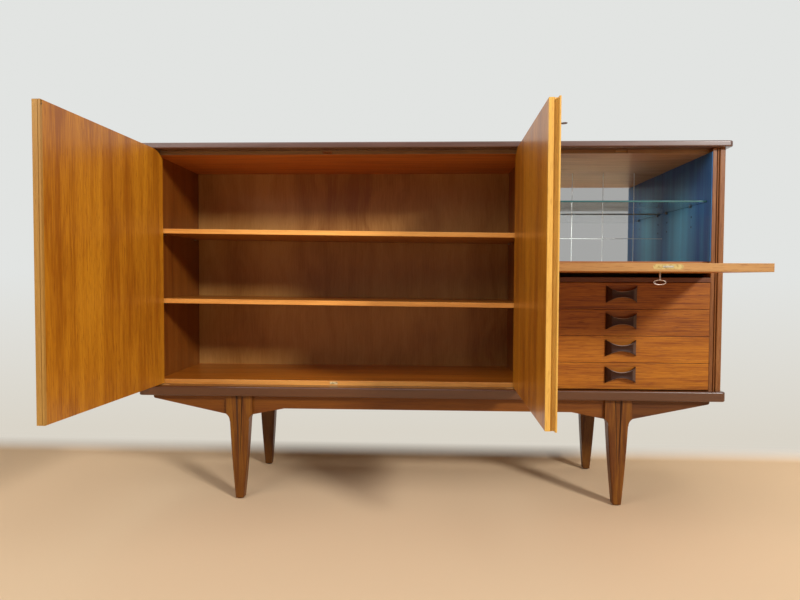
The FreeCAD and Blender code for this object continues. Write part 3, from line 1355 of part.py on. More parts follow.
leg_front_back = s.leg_front + s.leg_deep
leg_back_front = back_leg_y - s.leg_deep
rail_half = s.apron_thick / 2
back_leg_inner = leg_middle - s.leg_block * s.leg_back_share
base_rail_low = s.leg_height - s.base_rail_high
rails = []
for sign in (-1, 1):
    middle = leg_middle * sign
    rails.append(box("base_rail", middle - rail_half, middle + rail_half, leg_front_back,
                     leg_back_front, base_rail_low, s.leg_height))
rails.append(box("base_rail", -back_leg_inner, back_leg_inner, leg_back_front + rail_half,
                 leg_back_front + rail_half + s.apron_thick, base_rail_low, s.leg_height))
base_rails = group("base_rails", rails)
place(base_rails, 0, 0, 0)
finish(base_rails)

blocks = []
for sign in (-1, 1):
    for y, step in ((leg_front_back, 1), (leg_back_front, -1)):
        block = new_body("corner_block")
        x = (leg_middle - rail_half) * sign
        pad(block, "prism", "XY", s.leg_height - s.block_high, s.block_high, [[
            (x, y), (x - s.block_leg * sign, y), (x, y + s.block_leg * step)]])
        blocks.append(block)
corner_blocks = group("corner_blocks", blocks)
place(corner_blocks, 0, 0, 0)
finish(corner_blocks)

glides = []
for x in (-leg_middle, leg_middle):
    for y in (s.leg_front + s.leg_foot_deep / 2, back_leg_y - s.leg_foot_deep / 2):
        glides.append(rod("glide", s.glide_radius, s.glide_high, x, y, ZERO))
foot_glides = group("foot_glides", glides)
place(foot_glides, 0, 0, 0)
finish(foot_glides)

doc.recompute()

# Check every object, then write one file for each sub-part.
for thing in doc.Objects:
    if "Invalid" in thing.State or "Error" in thing.State:
        raise RuntimeError("object in error: " + thing.Name)
os.makedirs("parts", exist_ok=True)
for thing in nodes:
    shape = thing.Shape
    if shape.isNull() or not shape.isValid() or not shape.Solids:
        raise RuntimeError("bad shape: " + thing.Label)
    shape.exportStep("parts/%s.step" % thing.Label)
    print("%-22s %2d solids %10.1f cm3" % (thing.Label, len(shape.Solids), shape.Volume / 1000))
print(len(nodes), "sub-parts")
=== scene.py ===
# %% [markdown]
# # A highboard with a bar
# The cabinet comes in as a finished solid model: every board, door, drawer, leg and lock is
# there already, in metres, with the floor at Z = 0. This lesson gives the wood its grain, the
# metal and the glass their finish, and adds what is carved or cast rather than sawn. Each step
# says what the real piece is, how it could be made, and why it is made this way.

# %% Load the cabinet
import json
import math
import bpy
import numpy as np
from mathutils import Matrix, Vector


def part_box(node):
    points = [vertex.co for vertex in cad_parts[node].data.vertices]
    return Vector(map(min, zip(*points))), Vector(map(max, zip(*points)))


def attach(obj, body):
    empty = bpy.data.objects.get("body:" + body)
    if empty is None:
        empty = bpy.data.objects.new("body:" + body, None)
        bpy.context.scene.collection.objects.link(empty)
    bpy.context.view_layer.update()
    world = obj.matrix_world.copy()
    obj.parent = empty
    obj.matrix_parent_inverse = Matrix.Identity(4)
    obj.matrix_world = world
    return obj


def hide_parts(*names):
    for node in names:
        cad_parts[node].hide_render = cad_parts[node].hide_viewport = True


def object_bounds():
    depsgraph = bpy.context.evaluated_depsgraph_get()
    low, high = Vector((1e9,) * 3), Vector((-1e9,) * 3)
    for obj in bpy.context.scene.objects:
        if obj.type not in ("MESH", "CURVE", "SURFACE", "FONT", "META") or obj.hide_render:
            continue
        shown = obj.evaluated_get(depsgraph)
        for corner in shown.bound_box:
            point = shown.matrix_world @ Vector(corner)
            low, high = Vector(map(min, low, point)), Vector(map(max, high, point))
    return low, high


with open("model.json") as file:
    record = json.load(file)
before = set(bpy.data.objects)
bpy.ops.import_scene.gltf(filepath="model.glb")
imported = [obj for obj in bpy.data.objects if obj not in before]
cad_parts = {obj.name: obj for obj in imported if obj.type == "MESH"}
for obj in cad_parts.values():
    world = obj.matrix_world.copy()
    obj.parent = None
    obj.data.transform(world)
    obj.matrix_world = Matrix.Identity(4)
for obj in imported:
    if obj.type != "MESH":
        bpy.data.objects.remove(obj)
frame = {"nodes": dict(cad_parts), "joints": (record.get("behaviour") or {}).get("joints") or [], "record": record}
cad_box = [list(corner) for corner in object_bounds()]
nodes = frame["nodes"]
front_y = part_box("side_edge_left")[0].y
print("nodes:", len(nodes), "box:", cad_box)

# %% [markdown]
# ## The camera
# The picture was taken by hand from almost straight in front, at the height of the drawers' top,
# turned a little to the left and down. A camera can be placed by eye or worked out from corners
# whose place is known. Worked out, every edge of the model falls on its edge in the picture, so
# the camera is built from a position, two turns and a small roll.

# %% Camera
IMAGE_WIDE, SENSOR_WIDE = 800, 36
focal_pixels = 615.27
aside, stand_back, eye_height = -0.0090, 2.1300, 0.7834
yaw, pitch, roll = 0.0400, -0.0348, 0.0045
camera_place = Vector((aside, front_y - stand_back, eye_height))
forward = Vector((-math.sin(yaw) * math.cos(pitch), math.cos(yaw) * math.cos(pitch),
                  math.sin(pitch)))
level = Vector((math.cos(yaw), math.sin(yaw), 0))
upward = level.cross(forward)
right = math.cos(roll) * level + math.sin(roll) * upward
top = -math.sin(roll) * level + math.cos(roll) * upward
camera_data = bpy.data.cameras.new("camera")
camera_data.sensor_width = SENSOR_WIDE
camera_data.lens = focal_pixels / IMAGE_WIDE * SENSOR_WIDE
camera = bpy.data.objects.new("camera", camera_data)
bpy.context.scene.collection.objects.link(camera)
camera.matrix_world = Matrix.Translation(camera_place) @ Matrix(
    (right, top, -forward)).transposed().to_4x4()
bpy.context.scene.camera = camera
print("lens mm:", round(camera_data.lens, 2), "place:", [round(c, 3) for c in camera_place])

# %% [markdown]
# ## Nodes by the handful
# A material is a graph of nodes. Each could be added by hand with a line for every socket. The
# small helpers below add a node, set what is a number and link what is a socket, so that a
# material reads as a list of its ingredients.


# %% Node helpers
def put(tree, kind, given=None, **settings):
    """Add a node. A given value that is a socket is linked; any other value is set."""
    made = tree.nodes.new("ShaderNode" + kind)
    for name, value in settings.items():
        setattr(made, name, value)
    for name, value in (given or {}).items():
        if isinstance(value, bpy.types.NodeSocket):
            tree.links.new(value, made.inputs[name])
        else:
            made.inputs[name].default_value = value
    return made


def sums(tree, operation, *values):
    """One Math node; its result socket."""
    return put(tree, "Math", dict(enumerate(values)), operation=operation).outputs[0]


def vectors(tree, operation, first, second):
    """One Vector Math node; its result socket."""
    return put(tree, "VectorMath", {0: first, 1: second}, operation=operation).outputs[0]


def blend(tree, share, first, second):
    """Mix two colours; the result socket. The colour sockets of a Mix node are 6 and 7."""
    return put(tree, "Mix", {0: share, 6: first, 7: second}, data_type="RGBA").outputs[2]


def steps(tree, value, low, high, to_low=0.0, to_high=1.0):
    """Map Range: low..high becomes to_low..to_high, held at both ends."""
    return put(tree, "MapRange", {0: value, 1: low, 2: high, 3: to_low, 4: to_high}).outputs[0]


def paint(red, green, blue):
    """A colour for a socket, which also wants an opacity."""
    return (red, green, blue, 1.0)


print("node helpers ready")

# %% [markdown]
# A pattern has to stay on its piece when a door swings, so every pattern is laid out in the
# object's own coordinates. They could be written anew in each material; two small helpers give
# them whole or taken apart. Two more start an empty material and an empty node group.

# %% Materials and groups to fill
X, Y, Z = 0, 1, 2


def here(tree):
    """The object's own coordinates."""
    return put(tree, "TexCoord").outputs["Object"]


def here_xyz(tree):
    """The object's own coordinates, taken apart into x, y and z."""
    return put(tree, "SeparateXYZ", {0: here(tree)}).outputs


def fresh_material(name):
    """An empty material and its tree."""
    material = bpy.data.materials.new(name)
    material.use_nodes = True
    material.node_tree.nodes.clear()
    return material, material.node_tree


def show(tree, shader):
    """Send a shader to the material's output."""
    tree.links.new(shader.outputs[0], put(tree, "OutputMaterial").inputs[0])


def new_group(name, inputs, outputs):
    """A node group with named sockets; returns it with its inner ends."""
    tree = bpy.data.node_groups.new(name, "ShaderNodeTree")
    for label, kind, value in inputs:
        socket = tree.interface.new_socket(label, in_out="INPUT", socket_type="NodeSocket" + kind)
        if value is not None:
            socket.default_value = value
    for label, kind in outputs:
        tree.interface.new_socket(label, in_out="OUTPUT", socket_type="NodeSocket" + kind)
    given, out = tree.nodes.new("NodeGroupInput"), tree.nodes.new("NodeGroupOutput")
    return tree, given.outputs, out.inputs


print("material helpers ready")

# %% [markdown]
# ## Wood grain
# Real veneer shows four things at once: ribbons where the slicer crossed the growth rings, fine
# fibres along the board, short dark pores, and slow clouds of colour. Scanned pictures of veneer
# would repeat and have an edge. Noise never repeats, and it becomes a streak when the coordinate
# along the streak is made small before the noise is read.


# %% Noise and streaks
def noise(tree, vector, scale, detail=2.0, rough=.5, draw=None, output="Fac"):
    """Noise read at vector * draw: the smaller the factor in draw, the longer the streak."""
    if draw:
        vector = vectors(tree, "MULTIPLY", vector, draw)
    return put(tree, "TexNoise", {"Vector": vector, "Scale": scale, "Detail": detail,
                                  "Roughness": rough}).outputs[output]


print("noise ready")

# %% [markdown]
# Each board wants other ribbons and fibres, but all share one recipe. It could be copied into
# every material; as a node group it is built once, and each wood gives it its own tones and
# strengths. The group's vector runs along the grain in X.

# %% Wood grain group
RIBBON_DRAW, FIBRE_DRAW = (.045, 1, 1), (.028, 1, 1)
PORE_DRAW, CLOUD_DRAW = (.05, 1, 1), (.3, 1, 1)
WANDER_SCALE, CLOUD_SCALE, PORES_PER_FIBRE = 3.5, 4.0, 1.5
DARKEST, HALF, LIGHTEST = .15, .5, .85


def wood_group():
    """tone = half + the sum of (noise - half) * strength over ribbons, fibres and clouds.

    Below half the colour runs from Dark to Middle, above half from Middle to Light. Pores put
    Dark over it, lower the height and take away gloss.
    """
    tree, given, out = new_group("wood_grain", [
        ("Vector", "Vector", None), ("Dark", "Color", paint(.1, .04, .02)),
        ("Middle", "Color", paint(.3, .12, .04)), ("Light", "Color", paint(.5, .25, .1)),
        ("Band Scale", "Float", 30.0), ("Band Warp", "Float", .02), ("Bands", "Float", .8),
        ("Fibre Scale", "Float", 420.0), ("Fibres", "Float", .6), ("Pores", "Float", .4),
        ("Clouds", "Float", .5)],
        [("Color", "Color"), ("Gloss Loss", "Float"), ("Height", "Float")])
    straight = given["Vector"]
    wander = noise(tree, straight, WANDER_SCALE, output="Color")
    wander = vectors(tree, "SUBTRACT", wander, (HALF, HALF, HALF))
    wander = put(tree, "VectorMath", {0: wander, 3: given["Band Warp"]}, operation="SCALE")
    bent = vectors(tree, "ADD", wander.outputs[0], straight)
    ribbons = noise(tree, bent, given["Band Scale"], 4.0, .62, RIBBON_DRAW)
    fibres = noise(tree, straight, given["Fibre Scale"], 3.0, .6, FIBRE_DRAW)
    clouds = noise(tree, straight, CLOUD_SCALE, 3.0, draw=CLOUD_DRAW)
    pore_scale = sums(tree, "MULTIPLY", given["Fibre Scale"], PORES_PER_FIBRE)
    short = noise(tree, straight, pore_scale, 1.0, draw=PORE_DRAW)
    tone = HALF
    for value, share in ((ribbons, "Bands"), (fibres, "Fibres"), (clouds, "Clouds")):
        swing = sums(tree, "SUBTRACT", value, HALF)
        tone = sums(tree, "MULTIPLY_ADD", swing, given[share], tone)
    low = blend(tree, steps(tree, tone, DARKEST, HALF), given["Dark"], given["Middle"])
    full = blend(tree, steps(tree, tone, HALF, LIGHTEST), low, given["Light"])
    pores = sums(tree, "MULTIPLY", steps(tree, short, .60, .70), given["Pores"])
    tree.links.new(blend(tree, pores, full, given["Dark"]), out["Color"])
    tree.links.new(sums(tree, "MULTIPLY_ADD", pores, .5, fibres), out["Gloss Loss"])
    tree.links.new(sums(tree, "SUBTRACT", fibres, pores), out["Height"])
    return tree


WOOD = wood_group()
print("wood group nodes:", len(WOOD.nodes))

# %% [markdown]
# ## A board with its grain
# Grain runs along a board, so the pattern must lie the same way as the board. The object's
# coordinates are turned by a Mapping node: left as they are for boards along X, turned upright
# for doors, sides and legs. The dark and the light tone could be picked for each wood, but a
# darker streak is also redder in a steady way: where red falls by some factor, green falls by
# that factor to the power 1.5 and blue to the power 2.2. So one middle tone is enough.

# %% Grain in one direction
TURNS = {"along": (0, 0, 0), "upright": (0, math.pi / 2, 0)}
REDDEN = np.array((1.0, 1.5, 2.2))
LIGHT_SHARE, LIGHTEST_TONE = .6, .95


def grained(tree, grain, middle, spread, figure):
    """A wood grain node in one direction, its dark and light tones worked out from the middle.

    Dark is middle * (1 - spread) ^ redden, light is middle * (1 + .6 spread) ^ redden.
    """
    made = put(tree, "Group", node_tree=WOOD)
    turned = put(tree, "Mapping", {"Vector": here(tree), "Rotation": TURNS[grain]}).outputs[0]
    tree.links.new(turned, made.inputs["Vector"])
    middle = np.array(middle)
    light = np.minimum(middle * (1 + LIGHT_SHARE * spread) ** REDDEN, LIGHTEST_TONE)
    tones = {"Dark": middle * (1 - spread) ** REDDEN, "Middle": middle, "Light": light}
    for label, value in tones.items():
        made.inputs[label].default_value = paint(*value.tolist())
    for label, value in figure.items():
        made.inputs[label.replace("_", " ")].default_value = value
    return made


print("directions of grain:", ", ".join(TURNS))

# %% [markdown]
# ## Lacquered wood
# The cabinet is oiled and lacquered: wood with some roughness under a thin clear coat. A board
# with a lipping has a strip of other wood along its front edge. It could be a piece of its own,
# but here it is one board in the model, so the strip is told apart by its place: a zone is a
# limit on one axis with its own tone below it. Two things are laid over the wood: old wax mixed
# with painted shade in corners, and a painted highlight along a rim, which the piece itself
# carries as an attribute.

# %% One wood
ZONE_CALM, ZONE_BLUR = .8, .0002
WAX_AND_SHADE = (.050, .015, .004)
BUMP_DEEP, BUMP_STRENGTH = .0002, .6


def wood(name, grain, middle, spread=.34, rough=.42, coat=.10, coat_rough=.25, specular=.3,
         zones=(), grime_and_shade=None, polished=None, **figure):
    """A lacquered wood: the grain group feeds colour, roughness and bump of one shader.

    A zone is an axis, a limit along it and the middle tone of the wood below that limit.
    Grime and shade is a function that puts a mask of corners into the tree, where old wax and
    painted shade darken the wood. The rim highlight tone is a painted highlight, laid where the
    piece's attribute says. Figure holds inputs of the grain group, such as Bands.
    """
    material, tree = fresh_material(name)
    body = grained(tree, grain, middle, spread, figure)
    colour = body.outputs["Color"]
    for axis, limit, zone_middle in zones:
        strip = grained(tree, grain, zone_middle, ZONE_CALM * spread, figure)
        beyond = steps(tree, here_xyz(tree)[axis], limit - ZONE_BLUR, limit + ZONE_BLUR)
        colour = blend(tree, beyond, strip.outputs["Color"], colour)
    # Old wax and painted shade darken the corners that the mask marks.
    if grime_and_shade:
        colour = blend(tree, grime_and_shade(tree), colour, paint(*WAX_AND_SHADE))
    # A painted highlight on the pulls' rims, where the piece's attribute says.
    if polished:
        worn = put(tree, "Attribute", attribute_name="worn").outputs["Fac"]
        colour = blend(tree, worn, colour, paint(*polished))
    relief = put(tree, "Bump", {"Height": body.outputs["Height"], "Distance": BUMP_DEEP,
                                "Strength": BUMP_STRENGTH})
    roughness = steps(tree, body.outputs["Gloss Loss"], .2, .9, rough - .08, rough + .12)
    show(tree, put(tree, "BsdfPrincipled", {
        "Base Color": colour, "Specular IOR Level": specular, "Roughness": roughness,
        "Coat Weight": coat, "Coat Roughness": coat_rough, "Normal": relief.outputs[0]}))
    return material


print("wood ready, a zone's edge is blurred over mm:", 2000 * ZONE_BLUR)

# %% [markdown]
# ## Slabs and sides
# The upper and the lower slab are a dark wood under a thick coat with a soft shine. The sides,
# their mouldings and the divider are plain teak with upright grain. Each could have a texture of
# its own; here each is the same grain with another tone and another strength of bands.

# %% Woods of the carcase
woods = {}
slab_middle = (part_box("top_slab")[0].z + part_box("bottom_slab")[0].z) / 2
woods["wood_slab"] = wood("dark_rosewood", "along", (.105, .042, .026), .3, rough=.36, coat=1.0,
                          coat_rough=.30, zones=[(Z, slab_middle, (.095, .026, .003))],
                          Bands=1.5, Band_Scale=45.0)
woods["wood_side"] = wood("teak_side", "upright", (.21, .060, .006), Bands=1.4)
woods["wood_moulding"] = wood("teak_moulding", "upright", (.24, .088, .020), .45, Fibres=1.3,
                              Pores=.7)
woods["wood_divider"] = wood("teak_divider", "upright", (.26, .078, .008), Bands=1.4)
woods["wood_rail"] = wood("dark_rail", "along", (.14, .042, .012))
print("woods so far:", len(woods))

# %% [markdown]
# ## Inner boards
# The floor and the shelves have an orange lipping 6 mm deep. The ceiling is redder over the bay
# than over the bar, and its front edge is darkened as painted shade under the slab. The back is
# rotary-cut plywood, whose figure is broad and wavy, so its bands are few and strongly warped.

# %% Woods of the inner boards
LIP_DEEP, orange_lip = .006, (.84, .38, .085)
shelf_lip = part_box("shelf_upper")[0].y + LIP_DEEP
bar_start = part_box("bar_mirror")[0].x
ceiling_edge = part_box("ceiling_boards")[0].y + .002
woods["wood_floor"] = wood("teak_floor", "along", (.46, .135, .008), coat=.45, coat_rough=.12,
                           zones=[(Y, shelf_lip, orange_lip)], Bands=1.6)
woods["wood_shelf"] = wood("teak_shelf", "along", (.42, .14, .014), coat=.35, coat_rough=.15,
                           zones=[(Y, shelf_lip, orange_lip)], Bands=1.5)
# The ceiling's front strip takes a darker tone: painted shade under the slab.
woods["wood_ceiling"] = wood("teak_ceiling", "along", (.54, .29, .105), .4, coat=.25,
                             coat_rough=.2, zones=[(X, bar_start, (.57, .168, .024)),
                                                   (Y, ceiling_edge, (.28, .145, .055))],
                             Bands=1.9, Band_Scale=45.0)
woods["wood_back"] = wood("plywood_back", "upright", (.44, .205, .050), Bands=1.1,
                          Band_Scale=12.0, Clouds=1.6, Band_Warp=.16, Pores=.25)
woods["wood_bar_floor"] = wood("teak_bar_floor", "along", (.36, .12, .02), coat=.4)
print("woods so far:", len(woods))

# %% [markdown]
# ## Legs and base
# Each front leg has a flute that narrows downwards, and the two slopes between its mouth and its
# floor are darkened by old wax and by painted shade. The darkening could be painted by hand on
# the mesh. Here the material is told where the slopes lie: between two half widths that shrink
# towards the foot.

# %% Woods of the base
FLUTE_TALL = .265
MOUTH_HALF, FLOOR_HALF = (.0022, .0136), (.0002, .0062)
MOUTH_BLUR, FLOOR_BLUR, BACK_FADE = .0006, .0012, (.010, .008)
FOOT_SHARE, WAX_AND_SHADE_SHARE = .3, .9


def flute_slopes(tree):
    """One on the flutes' sloping sides, fading out below.

    A slope is where the distance from the leg's middle is under the mouth's half width and over
    the floor's; both grow in a straight line from the flute's foot to the leg's top.
    """
    spot = here_xyz(tree)
    boxes = [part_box("leg_front_left"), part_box("leg_front_right")]
    aside = [sums(tree, "ABSOLUTE", sums(tree, "SUBTRACT", spot[X], (low.x + high.x) / 2))
             for low, high in boxes]
    aside = sums(tree, "MINIMUM", *aside)
    leg_front, leg_top = boxes[0][0].y, boxes[0][1].z
    share = steps(tree, spot[Z], leg_top - FLUTE_TALL, leg_top)
    outer = sums(tree, "SUBTRACT", steps(tree, share, 0, 1, *MOUTH_HALF), aside)
    inner = sums(tree, "SUBTRACT", aside, steps(tree, share, 0, 1, *FLOOR_HALF))
    slope = sums(tree, "MULTIPLY", steps(tree, outer, 0, MOUTH_BLUR),
                 steps(tree, inner, 0, FLOOR_BLUR))
    ahead = steps(tree, spot[Y], *(leg_front + back for back in BACK_FADE))
    return sums(tree, "MULTIPLY", sums(tree, "MULTIPLY", slope, ahead),
                steps(tree, share, 0, FOOT_SHARE, 0, WAX_AND_SHADE_SHARE))


# From the right front leg rightwards the base takes the darker tone: painted shade.
right_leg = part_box("leg_front_right")[0].x
behind_front_legs = front_y + .2
woods["wood_base"] = wood("teak_base", "along", (.125, .037, .004), .45,
                          zones=[(X, right_leg, (.20, .060, .004))], Bands=1.5)
# The back legs take the darker tone and the front legs a lighter one: painted shade under the cabinet.
woods["wood_leg"] = wood("teak_leg", "upright", (.120, .038, .003), .5, grime_and_shade=flute_slopes,
                         zones=[(Y, behind_front_legs, (.185, .060, .004))], Fibres=1.6,
                         Bands=2.4, Band_Scale=70.0, Pores=.6)
print("woods so far:", len(woods))

# %% [markdown]
# ## Doors, flap and drawers
# The doors are veneered with a golden wood of soft ribbons and short flecks, and edged with a
# paler one. The two upper drawers are given a darker tone than the two lower ones, which is a
# zone again: painted shade under the open flap. The pulls are nearly black, with a painted
# highlight along their rims.

# %% Woods of what moves
between_doors = -.5
lower_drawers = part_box("drawer_three_front")[1].z + .0006
woods["wood_door"] = wood("mahogany_door", "upright", (.480, .177, .008), .36, coat=.35,
                          coat_rough=.22, Bands=1.6, Band_Scale=20.0, Fibre_Scale=340.0,
                          Fibres=1.3, Pores=.9, Clouds=1.6)
woods["wood_edge"] = wood("light_edge", "upright", (.69, .38, .075), .3,
                          zones=[(X, between_doors, (.41, .205, .042))], Bands=1.2, Pores=.7)
woods["wood_flap"] = wood("teak_flap", "along", (.46, .16, .018), Bands=1.3)
woods["wood_flap_edge"] = wood("light_flap_edge", "along", (.41, .200, .060), .3, Bands=1.0,
                               Pores=.9)
# The two upper drawers take the darker tone: painted shade under the open flap.
woods["wood_drawer"] = wood("teak_drawer", "along", (.295, .086, .0042), .48, coat=.06,
                            zones=[(Z, lower_drawers, (.395, .129, .0062))], Bands=1.2,
                            Band_Scale=75.0, Fibre_Scale=340.0, Fibres=1.6, Pores=.8)
woods["wood_box"] = wood("drawer_oak", "along", (.52, .34, .18), .25)
# The pale tone is a painted highlight along the pulls' rims.
woods["wood_pull"] = wood("dark_pull", "along", (.036, .0105, .0045), .35, specular=.15, coat=.12,
                          polished=(.62, .50, .44))
print("woods:", len(woods))

# %% [markdown]
# ## Metal
# Old brass and steel are never evenly bright: they carry fine scratches and dull patches. A
# polished shader with one roughness looks like plastic, so a small group makes the roughness and
# the tint change from place to place.

# %% Worn metal group
SCRATCH_DRAW, SCRATCH_SCALE, PATCH_SCALE = (.15, 1, 1), 700.0, 130.0


def worn_group():
    """Scratches from drawn-out noise, tarnish from slow noise; out come roughness and colour.

    Roughness is smooth + (rough - smooth) * the greater of scratch and tarnish.
    """
    tree, given, out = new_group("worn_metal", [
        ("Vector", "Vector", None), ("Bright", "Color", paint(.6, .6, .6)),
        ("Dull", "Color", paint(.3, .3, .3)), ("Smooth", "Float", .2), ("Rough", "Float", .5)],
        [("Color", "Color"), ("Roughness", "Float")])
    lines = noise(tree, given["Vector"], SCRATCH_SCALE, 3.0, draw=SCRATCH_DRAW)
    spots = noise(tree, given["Vector"], PATCH_SCALE, 4.0)
    tarnish, scratch = steps(tree, spots, .45, .7), steps(tree, lines, .3, .7)
    tree.links.new(blend(tree, tarnish, given["Bright"], given["Dull"]), out["Color"])
    gain = sums(tree, "MAXIMUM", tarnish, scratch)
    span = sums(tree, "SUBTRACT", given["Rough"], given["Smooth"])
    tree.links.new(sums(tree, "MULTIPLY_ADD", gain, span, given["Smooth"]), out["Roughness"])
    return tree


WORN = worn_group()
print("metal group nodes:", len(WORN.nodes))

# %% [markdown]
# The two keys are one steel in the model, and the hinge plates, strikes and bushes are one
# brass. Yet what sits at the top of the open doors has gone brown, and the flap's key is still
# bright. A second material for each could do it; a stain that starts above a height does it with
# one.

# %% Metals
STAIN, STAIN_SHARE, STAIN_BLUR = (.10, .03, .012), .85, .01
above_flap = 1.0


def metal(name, bright, dull, smooth=.22, rough=.5, metallic=1.0, stained_above=None):
    """A metal with wear; above a height it may be stained brown."""
    material, tree = fresh_material(name)
    worn = put(tree, "Group", node_tree=WORN)
    tree.links.new(here(tree), worn.inputs["Vector"])
    for label, value in (("Bright", paint(*bright)), ("Dull", paint(*dull)), ("Smooth", smooth),
                         ("Rough", rough)):
        worn.inputs[label].default_value = value
    colour = worn.outputs["Color"]
    if stained_above:
        stain = steps(tree, here_xyz(tree)[Z], stained_above, stained_above + STAIN_BLUR, 0,
                      STAIN_SHARE)
        colour = blend(tree, stain, colour, paint(*STAIN))
    show(tree, put(tree, "BsdfPrincipled", {"Base Color": colour, "Metallic": metallic,
                                            "Roughness": worn.outputs["Roughness"]}))
    return material


metals = {
    "steel": metal("worn_steel", (.54, .49, .38), (.30, .26, .19)),
    "key_metal": metal("key_steel", (.66, .60, .55), (.36, .28, .24), stained_above=above_flap),
    "brass": metal("old_brass", (.90, .70, .38), (.42, .26, .09), .4, .65, .6, above_flap),
    "lock_brass": metal("lock_brass", (.54, .41, .17), (.30, .19, .06), .3, .55),
    "glide": metal("dark_glide", (.05, .05, .05), (.03, .03, .03), .5, .7),
}
print("metals:", len(metals))

# %% [markdown]
# ## Mirror
# The back of the bar is a mirror engraved with a grid. An engraved line is glass made matt, so
# it scatters light instead of mirroring. The grid could be cut into the mesh, yet the cuts are
# half a millimetre deep and would not show, so the material is told where the lines lie. Four
# upright and two level ones are spaced by shares of the glass that shows between the linings.

# %% Mirror
COLUMN_SHARE, ROW_SHARE = .2072, .3593
COLUMN_LINE, ROW_LINE = .0036, .0030
LINE_ROUGH, LINE_DULL = .4, .5
mirror_low, mirror_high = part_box("bar_mirror")
lining_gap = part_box("bar_lining_left")[1].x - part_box("bar_lining_left")[0].x
glass_wide = mirror_high.x - mirror_low.x - 2 * lining_gap
grid_middle = (mirror_low.x + mirror_high.x) / 2 - .003
grid_x = [grid_middle + COLUMN_SHARE * glass_wide * k for k in (-1.5, -.5, .5, 1.5)]
grid_z = [mirror_high.z - ROW_SHARE * (mirror_high.z - mirror_low.z) * k for k in (1, 2)]


def line_mask(tree, coordinate, centres, width):
    """The nearest centre decides: one up to .3 of the width from it, zero from half the width."""
    mask = 0.0
    for centre in centres:
        apart = sums(tree, "ABSOLUTE", sums(tree, "SUBTRACT", coordinate, centre))
        mask = sums(tree, "MAXIMUM", mask, steps(tree, apart, width * .5, width * .3))
    return mask


mirror_finish, tree = fresh_material("engraved_mirror")
spot = here_xyz(tree)
grid = sums(tree, "MAXIMUM", line_mask(tree, spot[X], grid_x, COLUMN_LINE),
            line_mask(tree, spot[Z], grid_z, ROW_LINE))
haze = noise(tree, here(tree), 9.0, 4.0)
show(tree, put(tree, "BsdfPrincipled", {
    "Base Color": blend(tree, grid, paint(.86, .85, .82), paint(.86, .90, .88)),
    "Metallic": sums(tree, "MULTIPLY_ADD", grid, -LINE_DULL, 1.0),
    "Roughness": sums(tree, "MAXIMUM", steps(tree, haze, .4, .75, .01, .06),
                      sums(tree, "MULTIPLY", grid, LINE_ROUGH))}))
print("grid lines at x", [round(x, 3) for x in grid_x], "z", [round(z, 3) for z in grid_z])

# %% [markdown]
# ## Blue glass
# The bar's side walls are lined with glass that is brushed blue from behind, so it has upright
# streaks under a clear face. Low down towards the back a teal patch is a painted reflection. The
# bored holes for the shelf's pins are rings of shadow. A painted picture could hold all this;
# made from noise and distances it stays sharp from near by.

# %% Blue glass
STREAK_DRAW, TEAL_PLACE, TEAL_SHARE = (1, 1, .03), .62, .75
TEAL_ASIDE, TEAL_BELOW_TOP = (.17, .02), (.03, .20)
HOLE_PITCH, HOLE_DROP, HOLE_RIM = .036, .0025, (.0048, .0036)
lining_low, lining_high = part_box("bar_lining_right")
hole_rows = (front_y + .160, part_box("back_panel")[0].y - .051)
first_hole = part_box("glass_shelf")[0].z - HOLE_DROP
blue_finish, tree = fresh_material("blue_wall_glass")
place = here_xyz(tree)
streaks = noise(tree, here(tree), 26.0, 6.0, .75, STREAK_DRAW)
# A teal patch low down towards the back is a painted reflection.
deep = lining_low.y + TEAL_PLACE * (lining_high.y - lining_low.y)
from_deep = sums(tree, "ABSOLUTE", sums(tree, "SUBTRACT", place[Y], deep))
near_deep = steps(tree, from_deep, *TEAL_ASIDE)
low_down = steps(tree, place[Z], *(lining_high.z - below for below in TEAL_BELOW_TOP))
teal_reflection = sums(tree, "MULTIPLY", sums(tree, "MULTIPLY", near_deep, low_down), TEAL_SHARE)
share = sums(tree, "ADD", teal_reflection, steps(tree, streaks, .35, .75, -.1, .35))
brushed = blend(tree, share, paint(.020, .095, .30), paint(.16, .53, .74))
behind_edge = steps(tree, place[Y], lining_low.y + .0005, lining_low.y + .002)
beside = put(tree, "CombineXYZ", {Y: place[Y], Z: place[Z]}).outputs[0]
rings = 0.0
for hole_y in hole_rows:
    for k in range(3):
        hole = (0, hole_y, first_hole - HOLE_PITCH * k)
        apart = put(tree, "VectorMath", {0: beside, 1: hole}, operation="DISTANCE").outputs[1]
        rings = sums(tree, "MAXIMUM", rings, steps(tree, apart, *HOLE_RIM, 0, .9))
show(tree, put(tree, "BsdfPrincipled", {
    "Base Color": blend(tree, rings, brushed, paint(.004, .007, .012)),
    "Roughness": steps(tree, streaks, .3, .7, .3, .5), "Specular IOR Level": .12,
    "Coat Weight": sums(tree, "MULTIPLY", behind_edge, .18), "Coat Roughness": .08}))
print("rows of holes at y", [round(y, 3) for y in hole_rows])

# %% [markdown]
# ## Shelf glass
# The glass shelf is clear, bluish green where one looks into its front edge, dark at its two
# ends and ground pale at the rear. Pure glass would do for the sheet, but light that goes round
# inside it takes many bounces to come out at an edge, so the edges get a surface of their own.
# Shadow rays pass straight through, because bent light would leave a black shadow below.

